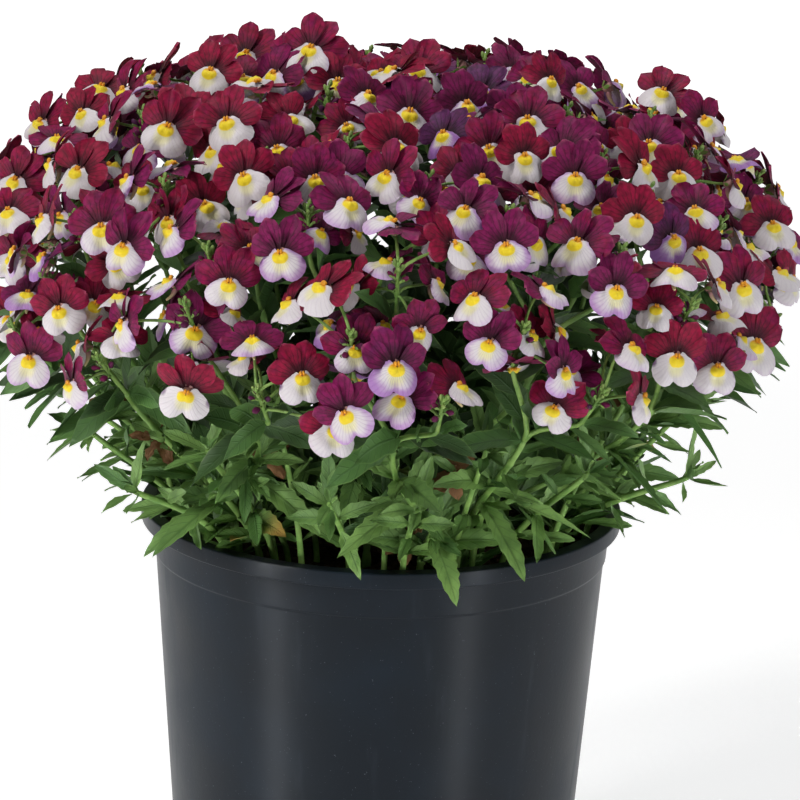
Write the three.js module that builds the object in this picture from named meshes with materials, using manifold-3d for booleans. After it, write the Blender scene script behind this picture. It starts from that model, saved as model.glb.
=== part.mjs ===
// A nemesia in a nursery pot. Thirteen square stems stand in the soil and fork into three branches each.
// Every branch carries a head of two short racemes, whose blooms together close a flat-topped dome over
// a skirt of toothed leaves. Millimetres, +Z up, origin at the middle of the pot's underside, front at -Y.
import * as THREE from 'three';
import { mergeVertices } from 'three/addons/utils/BufferGeometryUtils.js';
import Module from 'manifold-3d';

const wasm = await Module();
wasm.setup();

// Driving dimensions
const GAP = 0.3; // clear space left between pieces that touch

const POT = {
  height: 165,
  rimRadius: 82.5,
  rimBand: 5.6, // height of the turned-out band
  footRadius: 66,
  taper: 0.0764, // growth of the wall's radius for each millimetre of height
  stepDrop: 11.6, // from the band's lower edge to the small step in the wall
  stepOut: 0.7,
  wall: 1.6,
  floor: 2.4,
  footEdge: 1.2, // bevels of the foot, of the band's lower edge and of the rim
  bandEdge: 0.5,
  rimEdge: 0.9,
  segments: 32,
  drains: 4,
  drainRadius: 5,
  drainRing: 50,
  drainSides: 6,
};

const SOIL = {
  drop: 12,
  mound: 3,
  rings: [[0.66, 0.6], [0.3, 1]], // share of the soil's radius, share of the mound's height
  roughness: 0.8,
  clumps: [0.31, 0.27], // how fast the roughness goes up and down across and along
  holeDepth: 9,
};

// The shell on which the blooms lie, measured from the rim's height
const DOME = {
  radius: 138,
  waistHeight: 84,
  rise: 64,
  drop: 74,
  squareness: 2.33,
  lowestHeight: 64,
  waves: [{ depth: 0.03, count: 3, phase: 0.8 }, { depth: 0.018, count: 7, phase: 2 }],
};
// Swellings of the dome where a few heads stand above the rest
const PEAKS = [
  { x: -31, y: -6, height: 11, spread: 22 },
  { x: -92, y: 8, height: 5, spread: 26 },
  { x: 96, y: 22, height: 4, spread: 26 },
];

// Rings of heads from the top of the dome down, and the stems that carry three heads each. A stem's axis
// and its two side branches are polylines, and forks and leaf pairs sit at their numbered corners.
const RINGS = [
  { heads: 3, footRadius: 0, forks: [3, 4], axisLeaves: [2], sideLeaves: [] },
  { heads: 9, footRadius: 22, forks: [3, 4], axisLeaves: [2], sideLeaves: [] },
  { heads: 12, footRadius: 42, forks: [2, 3], axisLeaves: [2, 3, 4], sideLeaves: [1, 2] },
  { heads: 15, footRadius: 62, forks: [2, 3], axisLeaves: [1, 2, 3, 4, 5], sideLeaves: [1, 2, 3] },
];
const HEADS_PER_STEM = 3;

// A head's axis is a mix of the dome's outward direction and straight up
const HEAD = { outward: 0.55, up: 0.65, twist: 0.35, jitter: 0.05 };

// Pull and push are the lengths of a curve's two handles, as shares of its span
const STEM = {
  footWidth: 3.2,
  tipWidth: 2,
  sideWidth: 2.1,
  steps: 6,
  sideSteps: 4,
  nodeHeight: 2.6,
  collar: 4, // height above the soil at which the stem begins to bend
  pull: 0.3,
  push: 0.35,
};

// A raceme's core is given as rings of [level, radius] up from its foot. The stalks of its blooms leave it
// between two levels under its tip, each a little below its bloom.
const RACEME = {
  reach: 44,
  length: 26,
  lead: 8,
  leadSpread: 2,
  stalkRadius: 1.2,
  crown: 5,
  forkHeight: 2.6,
  rings: [[0, 1.2], [9, 2.5], [15, 3.2]],
  lowestRoot: -19,
  highestRoot: -9,
  rootBelow: 5,
};

const BLOOM = {
  count: 360, // places tried
  thinnedFrom: 0.86, // share of the dome's area from which some places stay empty
  thinnedShare: 0.25,
  smallest: 0.9,
  largest: 1.06,
  calyxDepth: 4.6,
  calyxRadius: 1.5,
  drawnIn: 0.07, // share of the way to the middle of its raceme
  roll: 0.28,
};

// Which way the blooms face: weights of the front, of straight up and of the way off the raceme's axis
const FACING = {
  front: 0.5,
  frontLostAtSide: 0.28,
  up: 0.12,
  upGainedOnTop: 0.26,
  offAxis: 0.45,
  sideways: 0.25,
  tilt: 0.14,
  leastBehind: 0.95, // how far a stalk has to come from behind
};

const LEAF = {
  length: 33,
  shortest: 0.85,
  longest: 1.15,
  widthShare: 0.3,
  thickness: 1.5,
  droop: 0.25,
  fold: 0.25, // rise of the blade's edges for each millimetre off the midrib
  lowestLift: 20, // degrees above square to the stem
  highestLift: 42,
  turn: 0.25,
  nearStalks: 0.7,
};

// Low shoots round the rim: azimuths from the front in degrees, and ranges of their other sizes
const SHOOT = {
  azimuths: [-88, -38, 12, 63, 128, -150],
  footRadius: [63, 66],
  tipRadius: [84, 92],
  tipHeight: [18, 28],
  pull: 12,
  push: 8,
  steps: 4,
  leafCorners: [2, 3, 4],
};

const UP = new THREE.Vector3(0, 0, 1);
const FRONT = new THREE.Vector3(0, -1, 0);
const DEGREE = Math.PI / 180;
const GOLDEN_ANGLE = Math.PI * (3 - Math.sqrt(5));

// One seeded row of numbers between 0 and 1
function seededDraws(seed) {
  let state = seed;
  return () => {
    state = (state * 16807) % 2147483647;
    return state / 2147483647;
  };
}

const between = (draw, low, high) => low + (high - low) * draw();

// Solids
function solidOf(geometry) {
  const bare = new THREE.BufferGeometry();
  bare.setAttribute('position', geometry.getAttribute('position'));
  bare.setIndex(geometry.getIndex());
  const merged = mergeVertices(bare, 1e-4);
  const kept = [];
  const corners = merged.getIndex().array;
  for (let i = 0; i < corners.length; i += 3) {
    const [a, b, c] = corners.slice(i, i + 3);
    if (a !== b && b !== c && c !== a) kept.push(a, b, c);
  }
  return new wasm.Manifold(new wasm.Mesh({
    numProp: 3,
    vertProperties: merged.getAttribute('position').array,
    triVerts: new Uint32Array(kept),
  }));
}

function geometryOf(solid) {
  const mesh = solid.getMesh();
  const geometry = new THREE.BufferGeometry();
  geometry.setAttribute('position', new THREE.BufferAttribute(mesh.vertProperties.slice(), 3));
  geometry.setIndex(new THREE.BufferAttribute(mesh.triVerts.slice(), 1));
  geometry.computeVertexNormals();
  return geometry;
}

function meshOf(name, geometry, color, roughness, place = new THREE.Vector3()) {
  const material = new THREE.MeshStandardMaterial({ color, roughness, metalness: 0 });
  geometry.translate(-place.x, -place.y, -place.z);
  const mesh = new THREE.Mesh(geometry, material);
  mesh.name = name;
  mesh.position.copy(place);
  return mesh;
}

function facesOf(points, faces) {
  const geometry = new THREE.BufferGeometry();
  const flat = points.flatMap((p) => [p.x, p.y, p.z]);
  geometry.setAttribute('position', new THREE.Float32BufferAttribute(flat, 3));
  geometry.setIndex(faces.flat());
  return geometry;
}

// A solid of revolution round Z from a profile of [radius, height] points that starts and ends on the axis
function turned(profile, segments) {
  const geometry = new THREE.LatheGeometry(profile.map(([r, z]) => new THREE.Vector2(r, z)), segments);
  return geometry.rotateX(Math.PI / 2);
}

// A closed surface that grows from ring to ring. A port is a loop of corners, counter-clockwise as seen
// from outside, where the surface is still open: it is grown on from, or closed with a cap.
class Body {
  constructor() {
    this.points = [];
    this.faces = [];
  }

  corner(point) {
    return this.points.push(point) - 1;
  }

  cap(port) {
    for (let k = 1; k + 1 < port.length; k++) this.faces.push([port[0], port[k], port[k + 1]]);
  }

  // The first ring, closed underneath
  start(points) {
    const ring = points.map((point) => this.corner(point));
    this.cap(ring.toReversed());
    return ring;
  }

  // A further ring with as many corners. Its sides are given back as ports.
  grow(port, points) {
    const ring = points.map((point) => this.corner(point));
    const sides = port.map((corner, k) => {
      const next = (k + 1) % port.length;
      return [corner, port[next], ring[next], ring[k]];
    });
    return { ring, sides };
  }

  // A fan from a loop to one point
  fan(loop, tip) {
    loop.forEach((corner, k) => this.faces.push([corner, loop[(k + 1) % loop.length], tip]));
  }

  middle(port) {
    const sum = new THREE.Vector3();
    port.forEach((corner) => sum.add(this.points[corner]));
    return sum.divideScalar(port.length);
  }

  normal(port) {
    const [a, b, c] = port.map((corner) => this.points[corner]);
    return b.clone().sub(a).cross(c.clone().sub(a)).normalize();
  }

  geometry() {
    return facesOf(this.points, this.faces);
  }
}

// Directions at each corner of a polyline: along it, an upper side carried on from corner to corner, and
// the right-hand side of a viewer who looks back from the far end
function framesAlong(points, firstUp) {
  let up = firstUp;
  return points.map((at, i) => {
    const ahead = points[Math.min(i + 1, points.length - 1)];
    const behind = points[Math.max(i - 1, 0)];
    const along = ahead.clone().sub(behind).normalize();
    up = up.clone().addScaledVector(along, -up.dot(along)).normalize();
    return { at, along, up, right: up.clone().cross(along) };
  });
}

function aside(frame, angle) {
  return frame.right.clone().multiplyScalar(Math.cos(angle)).addScaledVector(frame.up, Math.sin(angle));
}

// The corners of a ring with its first side underneath
function ringPoints(frame, radius, sides, shift = 0) {
  const step = (2 * Math.PI) / sides;
  return Array.from({ length: sides }, (_, k) => frame.at.clone()
    .addScaledVector(aside(frame, (k - 0.5) * step - Math.PI / 2), radius)
    .addScaledVector(frame.along, shift));
}

// The outward direction of side k of a four-sided ring: 0 below, 1 right, 2 above, 3 left
const sideNormal = (frame, k) => aside(frame, ((k - 1) * Math.PI) / 2);

function bezierPoints(start, pull, push, end, steps) {
  return new THREE.CubicBezierCurve3(start, pull, push, end).getPoints(steps);
}

// Pot and soil
const wallRadius = (z) => POT.footRadius + POT.taper * z;

function potGeometry() {
  const bandFoot = POT.height - POT.rimBand;
  const step = bandFoot - POT.stepDrop;
  const top = wallRadius(bandFoot) + POT.stepOut;
  const profile = [
    [0, 0],
    [POT.footRadius - POT.footEdge, 0],
    [wallRadius(POT.footEdge), POT.footEdge],
    [wallRadius(step), step],
    [wallRadius(step) + POT.stepOut, step + POT.stepOut],
    [top, bandFoot],
    [POT.rimRadius - POT.bandEdge, bandFoot],
    [POT.rimRadius, POT.height - POT.rimEdge],
    [POT.rimRadius - POT.rimEdge, POT.height],
    [top - POT.wall, POT.height],
    [wallRadius(POT.floor) - POT.wall, POT.floor],
    [0, POT.floor],
  ];
  let pot = solidOf(turned(profile, POT.segments));
  for (let i = 0; i < POT.drains; i++) {
    const hole = new THREE.CylinderGeometry(POT.drainRadius, POT.drainRadius, POT.floor * 3, POT.drainSides);
    hole.rotateX(Math.PI / 2);
    const turn = (i / POT.drains) * Math.PI * 2;
    hole.translate(POT.drainRing * Math.cos(turn), POT.drainRing * Math.sin(turn), 0);
    pot = pot.subtract(solidOf(hole));
  }
  return geometryOf(pot);
}

// Inside radius of the pot at a height, on the straight line from the floor to the rim
function insideRadius(z) {
  const low = wallRadius(POT.floor) - POT.wall;
  const high = wallRadius(POT.height - POT.rimBand) + POT.stepOut - POT.wall;
  return low + ((high - low) * (z - POT.floor)) / (POT.height - POT.floor);
}

const soilLevel = POT.height - SOIL.drop;

function soilGeometry(feet) {
  const bottom = POT.floor + GAP;
  const edge = insideRadius(soilLevel) - 2 * GAP;
  const profile = [
    [0, bottom],
    [insideRadius(bottom) - 2 * GAP, bottom],
    [edge, soilLevel],
    ...SOIL.rings.map(([radius, height]) => [edge * radius, soilLevel + SOIL.mound * height]),
    [0, soilLevel + SOIL.mound],
  ];
  const geometry = turned(profile, POT.segments);
  const position = geometry.getAttribute('position');
  for (let i = 0; i < position.count; i++) {
    const [x, y, z] = [position.getX(i), position.getY(i), position.getZ(i)];
    const inner = Math.hypot(x, y) < edge - 1;
    if (inner && z > soilLevel) {
      const [across, along] = SOIL.clumps;
      position.setZ(i, z + SOIL.roughness * Math.sin(across * x + 1) * Math.cos(along * y));
    }
  }
  let soil = solidOf(geometry);
  for (const foot of feet) {
    const depth = SOIL.holeDepth + GAP;
    const width = STEM.footWidth + 2 * GAP;
    const hole = new THREE.BoxGeometry(width, width, depth * 2);
    hole.rotateZ(Math.atan2(foot.at.y, foot.at.x));
    hole.translate(foot.at.x, foot.at.y, soilLevel);
    soil = soil.subtract(solidOf(hole));
  }
  return geometryOf(soil);
}

// The dome. Places on it are a share of its area from the top down, and an azimuth from the front.
// From here on heights are measured from the rim.
function profileAt(angle) {
  const power = 2 / DOME.squareness;
  const across = Math.cos(angle);
  const reach = across > 0 ? DOME.rise : -DOME.drop;
  return {
    r: DOME.radius * Math.sin(angle) ** power,
    z: DOME.waistHeight + reach * Math.abs(across) ** power,
  };
}

const PROFILE_STEPS = 200;
const lowestAngle = Math.acos(
  -(((DOME.waistHeight - DOME.lowestHeight) / DOME.drop) ** (DOME.squareness / 2)),
);

function areaRows() {
  const rows = [{ ...profileAt(0), area: 0 }];
  for (let i = 1; i <= PROFILE_STEPS; i++) {
    const before = rows[i - 1];
    const here = profileAt((lowestAngle * i) / PROFILE_STEPS);
    const slant = Math.hypot(here.r - before.r, here.z - before.z);
    rows.push({ ...here, area: before.area + Math.PI * (here.r + before.r) * slant });
  }
  return rows;
}

const profileRows = areaRows();
const domeArea = profileRows[PROFILE_STEPS].area;

function azimuthDirection(azimuth) {
  return new THREE.Vector3(Math.sin(azimuth), -Math.cos(azimuth), 0);
}

function domePlace(share, azimuth) {
  const area = share * domeArea;
  let i = 1;
  while (i < PROFILE_STEPS && profileRows[i].area < area) i++;
  const above = profileRows[i - 1];
  const below = profileRows[i];
  const part = (area - above.area) / (below.area - above.area);
  const wave = DOME.waves.reduce((sum, { depth, count, phase }) => (
    sum + depth * Math.sin(count * azimuth + phase)), 1);
  const radius = (above.r + (below.r - above.r) * part) * wave;
  const outward = azimuthDirection(azimuth);
  const point = outward.clone().multiplyScalar(radius);
  point.z = above.z + (below.z - above.z) * part;
  for (const peak of PEAKS) {
    const away = ((point.x - peak.x) ** 2 + (point.y - peak.y) ** 2) / (2 * peak.spread ** 2);
    point.z += (peak.height * Math.exp(-away) * (point.z - DOME.lowestHeight)) / DOME.rise;
  }
  const normal = outward.clone().multiplyScalar(above.z - below.z);
  normal.z = below.r - above.r;
  return { point, normal: normal.normalize(), outward };
}

// Each piece of the plant is stood for by balls, so that a later piece can be tried clear of the others.
// A stalk's balls may be near those of the stalks in its own node, which it grows from.
const claimed = [];
const OWN_BLADES_APART = 1.08; // blades of one node are kept further apart, so that no two cross

function claim(owner, balls) {
  for (const ball of balls) claimed.push({ owner, ...ball });
}

// ownShare says how near blades may come to the stalks of their own node
function isClear(owner, balls, ownShare) {
  return balls.every((ball) => claimed.every((other) => {
    const own = other.owner === owner;
    if (own && ball.stalk && other.stalk) return true;
    const share = own && other.stalk ? ownShare : 1;
    const near = (ball.r + other.r + GAP) * (own && !other.stalk ? OWN_BLADES_APART : share);
    return ball.at.distanceToSquared(other.at) > near * near;
  }));
}

const stalkBalls = (points, r) => points.map((at) => ({ at, r, stalk: true }));

const BALL_SPACING = 4;

function pointsBetween(a, b, spacing) {
  const steps = Math.max(1, Math.round(a.distanceTo(b) / spacing));
  return Array.from({ length: steps + 1 }, (_, i) => a.clone().lerp(b, i / steps));
}

// Heads: places, axes and the two racemes of each
function headPlans() {
  const draw = seededDraws(4217);
  const plans = [];
  const risen = (normal) => (
    normal.clone().multiplyScalar(HEAD.outward).addScaledVector(UP, HEAD.up).normalize());
  let shareAbove = 0;
  const all = RINGS.reduce((sum, ring) => sum + ring.heads, 0);
  RINGS.forEach((ring, level) => {
    const share = shareAbove + ring.heads / all / 2;
    shareAbove += ring.heads / all;
    const nextShare = ring.heads / all / 4;
    for (let i = 0; i < ring.heads; i++) {
      const azimuth = ((i + 0.5) / ring.heads) * Math.PI * 2 + level * HEAD.twist
        + between(draw, -HEAD.jitter, HEAD.jitter);
      const middle = domePlace(share, azimuth);
      const axis = risen(middle.normal);
      const base = middle.point.clone().addScaledVector(axis, -RACEME.reach);
      const quarter = Math.PI / 2 / ring.heads;
      const racemes = [-1, 1].map((turn) => {
        const place = domePlace(share + turn * nextShare, azimuth + turn * quarter);
        const stem = risen(place.normal);
        const lead = RACEME.lead + between(draw, -RACEME.leadSpread, RACEME.leadSpread);
        const tip = place.point.clone().addScaledVector(stem, lead);
        const foot = tip.clone().addScaledVector(stem, -RACEME.length);
        return { tip, axis: stem, foot, middle: place.point, blooms: [] };
      });
      plans.push({ level, azimuth, base, axis, racemes });
    }
  });
  return plans;
}

const heads = headPlans();

heads.forEach((head, i) => {
  for (const raceme of head.racemes) {
    const waist = raceme.foot.clone().lerp(raceme.tip, 0.4);
    for (const [from, to, r] of [
      [head.base, raceme.foot, 1.6],
      [raceme.foot, waist, 2.4],
      [waist, raceme.tip, 3],
    ]) claim(`head_${i}`, stalkBalls(pointsBetween(from, to, BALL_SPACING), r));
  }
});

// Stems: a main axis to the middle head of each three, and a side branch to either neighbour
const endBelow = (head) => head.base.clone().addScaledVector(head.axis, -GAP);

function footAt(outward, radius) {
  return outward.clone().multiplyScalar(radius).setZ(-SOIL.drop - SOIL.holeDepth);
}

function nearestSide(frame, target) {
  const toward = target.clone().sub(frame.at);
  return [0, 1, 2, 3].reduce((best, k) => (
    sideNormal(frame, k).dot(toward) > sideNormal(frame, best).dot(toward) ? k : best));
}

function stemPlans() {
  const plans = [];
  for (let first = 0; first < heads.length; first += HEADS_PER_STEM) {
    const [left, middle, right] = heads.slice(first, first + HEADS_PER_STEM);
    const ring = RINGS[middle.level];
    const outward = azimuthDirection(middle.azimuth);
    const foot = footAt(outward, ring.footRadius);
    const collar = foot.clone().setZ(STEM.collar - SOIL.drop);
    const top = endBelow(middle);
    const rise = collar.distanceTo(top);
    const axis = framesAlong([foot, ...bezierPoints(
      collar,
      collar.clone().addScaledVector(UP, rise * STEM.pull),
      top.clone().addScaledVector(middle.axis, -rise * STEM.push),
      top,
      STEM.steps,
    )], outward);
    const branches = [left, right].map((head, k) => {
      const corner = ring.forks[k];
      const fork = axis[corner];
      const side = nearestSide(fork, head.base);
      const to = endBelow(head);
      const span = fork.at.distanceTo(to);
      const away = sideNormal(fork, side).addScaledVector(fork.along, 1).normalize();
      const frames = framesAlong(bezierPoints(
        fork.at,
        fork.at.clone().addScaledVector(away, span * STEM.pull),
        to.clone().addScaledVector(head.axis, -span * STEM.push),
        to,
        STEM.sideSteps,
      ), fork.along);
      return { corner, side, frames, leaves: [] };
    });
    plans.push({ ring, axis, branches, leaves: [] });
  }
  return plans;
}

const stems = stemPlans();

function shootPlans() {
  const draw = seededDraws(991);
  return SHOOT.azimuths.map((degrees) => {
    const outward = azimuthDirection(degrees * DEGREE);
    const foot = footAt(outward, between(draw, ...SHOOT.footRadius));
    const collar = foot.clone().setZ(STEM.collar - SOIL.drop);
    const top = outward.clone().multiplyScalar(between(draw, ...SHOOT.tipRadius))
      .setZ(between(draw, ...SHOOT.tipHeight));
    const axis = framesAlong([foot, ...bezierPoints(
      collar,
      collar.clone().addScaledVector(UP, SHOOT.pull),
      top.clone().addScaledVector(UP, -SHOOT.push).addScaledVector(outward, -SHOOT.push),
      top,
      SHOOT.steps,
    )], outward);
    return { axis, branches: [], leaves: [] };
  });
}

const shoots = shootPlans();

function claimStalk(owner, frames) {
  for (let i = 0; i + 1 < frames.length; i++) {
    claim(owner, stalkBalls(pointsBetween(frames[i].at, frames[i + 1].at, BALL_SPACING), STEM.tipWidth));
  }
}

stems.forEach((stem, i) => {
  claimStalk(`stem_${i}`, stem.axis);
  stem.branches.forEach((branch) => claimStalk(`stem_${i}`, branch.frames));
});
shoots.forEach((shoot, i) => claimStalk(`shoot_${i}`, shoot.axis));

// The pot's rim and the wall under it, as columns of balls at [radius, height]
const RIM_BALLS = { columns: 72, r: 4, at: [[80, -2.4], [79, -8], [78, -14], [77, -20]] };
for (let i = 0; i < RIM_BALLS.columns; i++) {
  const outward = azimuthDirection((i / RIM_BALLS.columns) * Math.PI * 2);
  claim('pot', RIM_BALLS.at.map(([radius, z]) => (
    { at: outward.clone().multiplyScalar(radius).setZ(z), r: RIM_BALLS.r })));
}

// Blooms. The front outline of one, from the right waist round over the top to the lip, in its own plane:
// x to the right, y up, z towards the viewer.
const OUTLINE = [
  [3.4, -2.4, 0.4],
  [10.6, -0.6, -0.4],
  [10, 6.2, -1],
  [4.2, 12, -2],
  [0, 8, -1.2],
  [-4.2, 12, -2],
  [-10, 6.2, -1],
  [-10.6, -0.6, -0.4],
  [-3.4, -2.4, 0.4],
  [-6.2, -10.6, 2],
  [6.2, -10.6, 2],
];
const THROAT = [0, -2.6, 2.4];
// Balls over the right half of a bloom, and those on its middle line
const HALF_BALLS = [
  [2.8, 9.4, -1.4, 2.4],
  [3.6, 5, -0.8, 2.8],
  [8, 4, -0.8, 2.6],
  [8.2, 0.8, -0.4, 2.2],
  [4.6, 0.6, 0, 2.6],
  [4.2, -8.4, 1.6, 2.4],
  [2.4, -4.8, 1, 2.6],
];
const LOBE_BALLS = [
  ...HALF_BALLS,
  ...HALF_BALLS.map(([x, y, z, r]) => [-x, y, z, r]),
  [0, -1, -1, 2.6],
];
// Balls down its stalk: share of the way to the root, radius, and whether other stalks may be near
const STALK_BALLS = [
  [0.2, 1.4, false],
  [0.42, 1.5, false],
  [0.64, 1.8, true],
  [0.86, 2.2, true],
];
// A bloom is tried at its place, and then at random further off, until it is clear of the others
const BLOOM_TRIES = 28;
const WIDEST_TRY = { in: 12, out: 6, turn: 40 * DEGREE, slide: 5, shrink: 0.14 };

// Which way a bloom would face if it stood alone: out from the plant, and rather to the front
function freeFacing(place) {
  const rim = Math.hypot(place.point.x, place.point.y) / DOME.radius;
  return place.outward.clone().multiplyScalar(Math.min(1, rim))
    .addScaledVector(FRONT, FACING.front - FACING.frontLostAtSide * rim)
    .addScaledVector(UP, FACING.up + FACING.upGainedOnTop * place.normal.z)
    .normalize();
}

// The raceme that carries a bloom: a near one, and one that the bloom doesn't look towards
function carrierOf(place, facing) {
  let best = null;
  heads.forEach((head, i) => head.racemes.forEach((raceme) => {
    const away = raceme.middle.clone().sub(place.point);
    const ahead = Math.max(0, away.dot(facing));
    const cost = away.lengthSq() + 3 * ahead * ahead;
    if (best === null || cost < best.cost) best = { cost, raceme, owner: `head_${i}` };
  }));
  return best;
}

// The bloom turns away from its raceme's axis, and a little at random
function bloomFrame(place, free, raceme, draw) {
  const off = place.point.clone().sub(raceme.tip);
  off.addScaledVector(raceme.axis, -off.dot(raceme.axis)).normalize();
  const facing = free.clone().addScaledVector(off, FACING.offAxis);
  const sideways = UP.clone().cross(facing).normalize();
  facing.addScaledVector(sideways, between(draw, -FACING.sideways, FACING.sideways))
    .addScaledVector(UP, between(draw, -FACING.tilt, FACING.tilt)).normalize();
  return { facing, roll: between(draw, -BLOOM.roll, BLOOM.roll) };
}

// A try at a bloom's place, moved off it by spread. Its stalk always comes from behind.
function bloomAt(place, frame, raceme, scale, spread, draw) {
  const turn = frame.roll + spread * between(draw, -WIDEST_TRY.turn, WIDEST_TRY.turn);
  const depth = spread * between(draw, -WIDEST_TRY.in, WIDEST_TRY.out);
  const slide = [0, 1].map(() => spread * between(draw, -WIDEST_TRY.slide, WIDEST_TRY.slide));
  const sideways = UP.clone().cross(frame.facing).normalize();
  const at = place.point.clone().addScaledVector(place.normal, depth)
    .addScaledVector(raceme.middle.clone().sub(place.point), BLOOM.drawnIn)
    .addScaledVector(sideways, slide[0])
    .addScaledVector(frame.facing.clone().cross(sideways), slide[1]);
  const root = stalkRoot(raceme, at);
  const stalk = at.clone().sub(root).normalize();
  const turnedAway = Math.max(0, FACING.leastBehind - frame.facing.dot(stalk));
  const facing = frame.facing.clone().addScaledVector(stalk, turnedAway).normalize();
  const level = UP.clone().cross(facing).normalize();
  return {
    at,
    root,
    right: level.clone().applyAxisAngle(facing, turn),
    up: facing.clone().cross(level).applyAxisAngle(facing, turn),
    facing,
    size: scale * (1 - WIDEST_TRY.shrink * spread),
  };
}

function onBloom(bloom, [x, y, z]) {
  return bloom.at.clone()
    .addScaledVector(bloom.right, x * bloom.size)
    .addScaledVector(bloom.up, y * bloom.size)
    .addScaledVector(bloom.facing, z * bloom.size);
}

// Where a bloom's stalk leaves its raceme
function stalkRoot(raceme, at) {
  const level = at.clone().sub(raceme.tip).dot(raceme.axis) - RACEME.rootBelow;
  return raceme.tip.clone()
    .addScaledVector(raceme.axis, Math.min(RACEME.highestRoot, Math.max(RACEME.lowestRoot, level)));
}

function bloomBalls(bloom) {
  const back = onBloom(bloom, [0, 0, -BLOOM.calyxDepth]);
  return [
    ...LOBE_BALLS.map(([x, y, z, r]) => ({ at: onBloom(bloom, [x, y, z]), r: r * bloom.size })),
    { at: back, r: 1.8 },
    ...STALK_BALLS.map(([share, r, stalk]) => ({ at: back.clone().lerp(bloom.root, share), r, stalk })),
  ];
}

function placeBlooms() {
  const draw = seededDraws(60613);
  for (let i = 0; i < BLOOM.count; i++) {
    const share = (i + 0.5) / BLOOM.count;
    const azimuth = i * GOLDEN_ANGLE + between(draw, -0.02, 0.02);
    const place = domePlace(share, azimuth);
    const free = freeFacing(place);
    const { raceme, owner } = carrierOf(place, free);
    const frame = bloomFrame(place, free, raceme, draw);
    const scale = between(draw, BLOOM.smallest, BLOOM.largest);
    if (draw() < BLOOM.thinnedShare && share > BLOOM.thinnedFrom) continue;
    for (let tried = 0; tried < BLOOM_TRIES; tried++) {
      const bloom = bloomAt(place, frame, raceme, scale, tried / BLOOM_TRIES, draw);
      const balls = bloomBalls(bloom);
      if (isClear(owner, balls, 1)) {
        claim(owner, balls);
        raceme.blooms.push(bloom);
        break;
      }
    }
  }
}

placeBlooms();

// How badly an open triangle suits a stalk to a target: by the distance in millimetres, and by how far it
// faces away
const FACES_TARGET = 0.45;
const COST_OF_TURN = 60;

function portCost(body, port, target) {
  const away = target.clone().sub(body.middle(port));
  const distance = away.length();
  const facing = body.normal(port).dot(away) / distance;
  return distance + COST_OF_TURN * Math.max(0, FACES_TARGET - facing);
}

function byCost(body, open, target) {
  return open.toSorted((a, b) => portCost(body, a, target) - portCost(body, b, target));
}

// Whether an edge of the first face runs through the second
function cutsThrough(body, [a, b, c], face) {
  const corners = face.map((corner) => body.points[corner]);
  return [[a, b], [b, c], [c, a]].some(([from, to]) => {
    if (face.includes(from) || face.includes(to)) return false;
    const way = body.points[to].clone().sub(body.points[from]);
    const ray = new THREE.Ray(body.points[from], way.clone().normalize());
    const hit = ray.intersectTriangle(...corners, false, new THREE.Vector3());
    return hit !== null && hit.distanceTo(ray.origin) < way.length();
  });
}

const boxOf = (body, face) => new THREE.Box3().setFromPoints(face.map((corner) => body.points[corner]));

// Whether any of the added faces crosses another of them or one of the faces that were there
function crossing(body, added, present) {
  const others = [...present, ...added].map((face) => ({ face, box: boxOf(body, face) }));
  return added.some((face) => {
    const box = boxOf(body, face);
    return others.some((other) => box.intersectsBox(other.box)
      && (cutsThrough(body, face, other.face) || cutsThrough(body, other.face, face)));
  });
}

// A further ring from a port, turned so that its corners lie nearest to the port's
function growTurned(body, port, points) {
  const cost = (shift) => port.reduce((sum, corner, k) => (
    sum + body.points[corner].distanceToSquared(points[(k + shift) % points.length])), 0);
  const shift = points.reduce((best, _, k) => (cost(k) < cost(best) ? k : best), 0);
  return body.grow(port, points.map((_, k) => points[(k + shift) % points.length]));
}

const halves = ([a, b, c, d]) => [[a, b, c], [a, c, d]];

// A bloom: its stalk runs to a three-cornered calyx, the back opens from there to the outline, and the
// front fans in to the throat
function addBloom(body, port, bloom) {
  const back = onBloom(bloom, [0, 0, -BLOOM.calyxDepth]);
  const start = body.middle(port);
  const along = back.clone().sub(start).normalize().add(bloom.facing).normalize();
  const frame = frameAt(back, along, body.points[port[2]].clone().sub(start));
  const corners = ringPoints(frame, BLOOM.calyxRadius, 3);
  const { ring, sides } = body.grow(port, corners);
  sides.forEach((side) => body.cap(side));
  const turnOf = (x, y) => Math.atan2(y, x);
  const cornerTurns = corners.map((corner) => {
    const out = corner.clone().sub(back);
    return turnOf(out.dot(bloom.right), out.dot(bloom.up));
  });
  const nearestCorner = ([x, y]) => {
    const apart = cornerTurns.map((turn) => Math.cos(turn - turnOf(x, y + 1)));
    return ring[apart.indexOf(Math.max(...apart))];
  };
  const outline = OUTLINE.map((point) => body.corner(onBloom(bloom, point)));
  outline.forEach((here, i) => {
    const next = (i + 1) % outline.length;
    const held = nearestCorner(OUTLINE[i]);
    const then = nearestCorner(OUTLINE[next]);
    body.faces.push([held, outline[next], here]);
    if (held !== then) body.faces.push([held, then, outline[next]]);
  });
  body.fan(outline, body.corner(onBloom(bloom, THROAT)));
}

// Grows a bloom from a port, and takes it back where it would cut into the head
function triedBloom(body, port, bloom, open) {
  const before = [body.points.length, body.faces.length];
  const present = [...body.faces, ...open.filter((face) => face !== port)];
  addBloom(body, port, bloom);
  const fits = !crossing(body, body.faces.slice(before[1]), present);
  if (!fits) [body.points.length, body.faces.length] = before;
  return fits;
}

function frameAt(at, along, upGuess) {
  const up = upGuess.clone().addScaledVector(along, -upGuess.dot(along)).normalize();
  return { at, along, up, right: up.clone().cross(along) };
}

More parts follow.
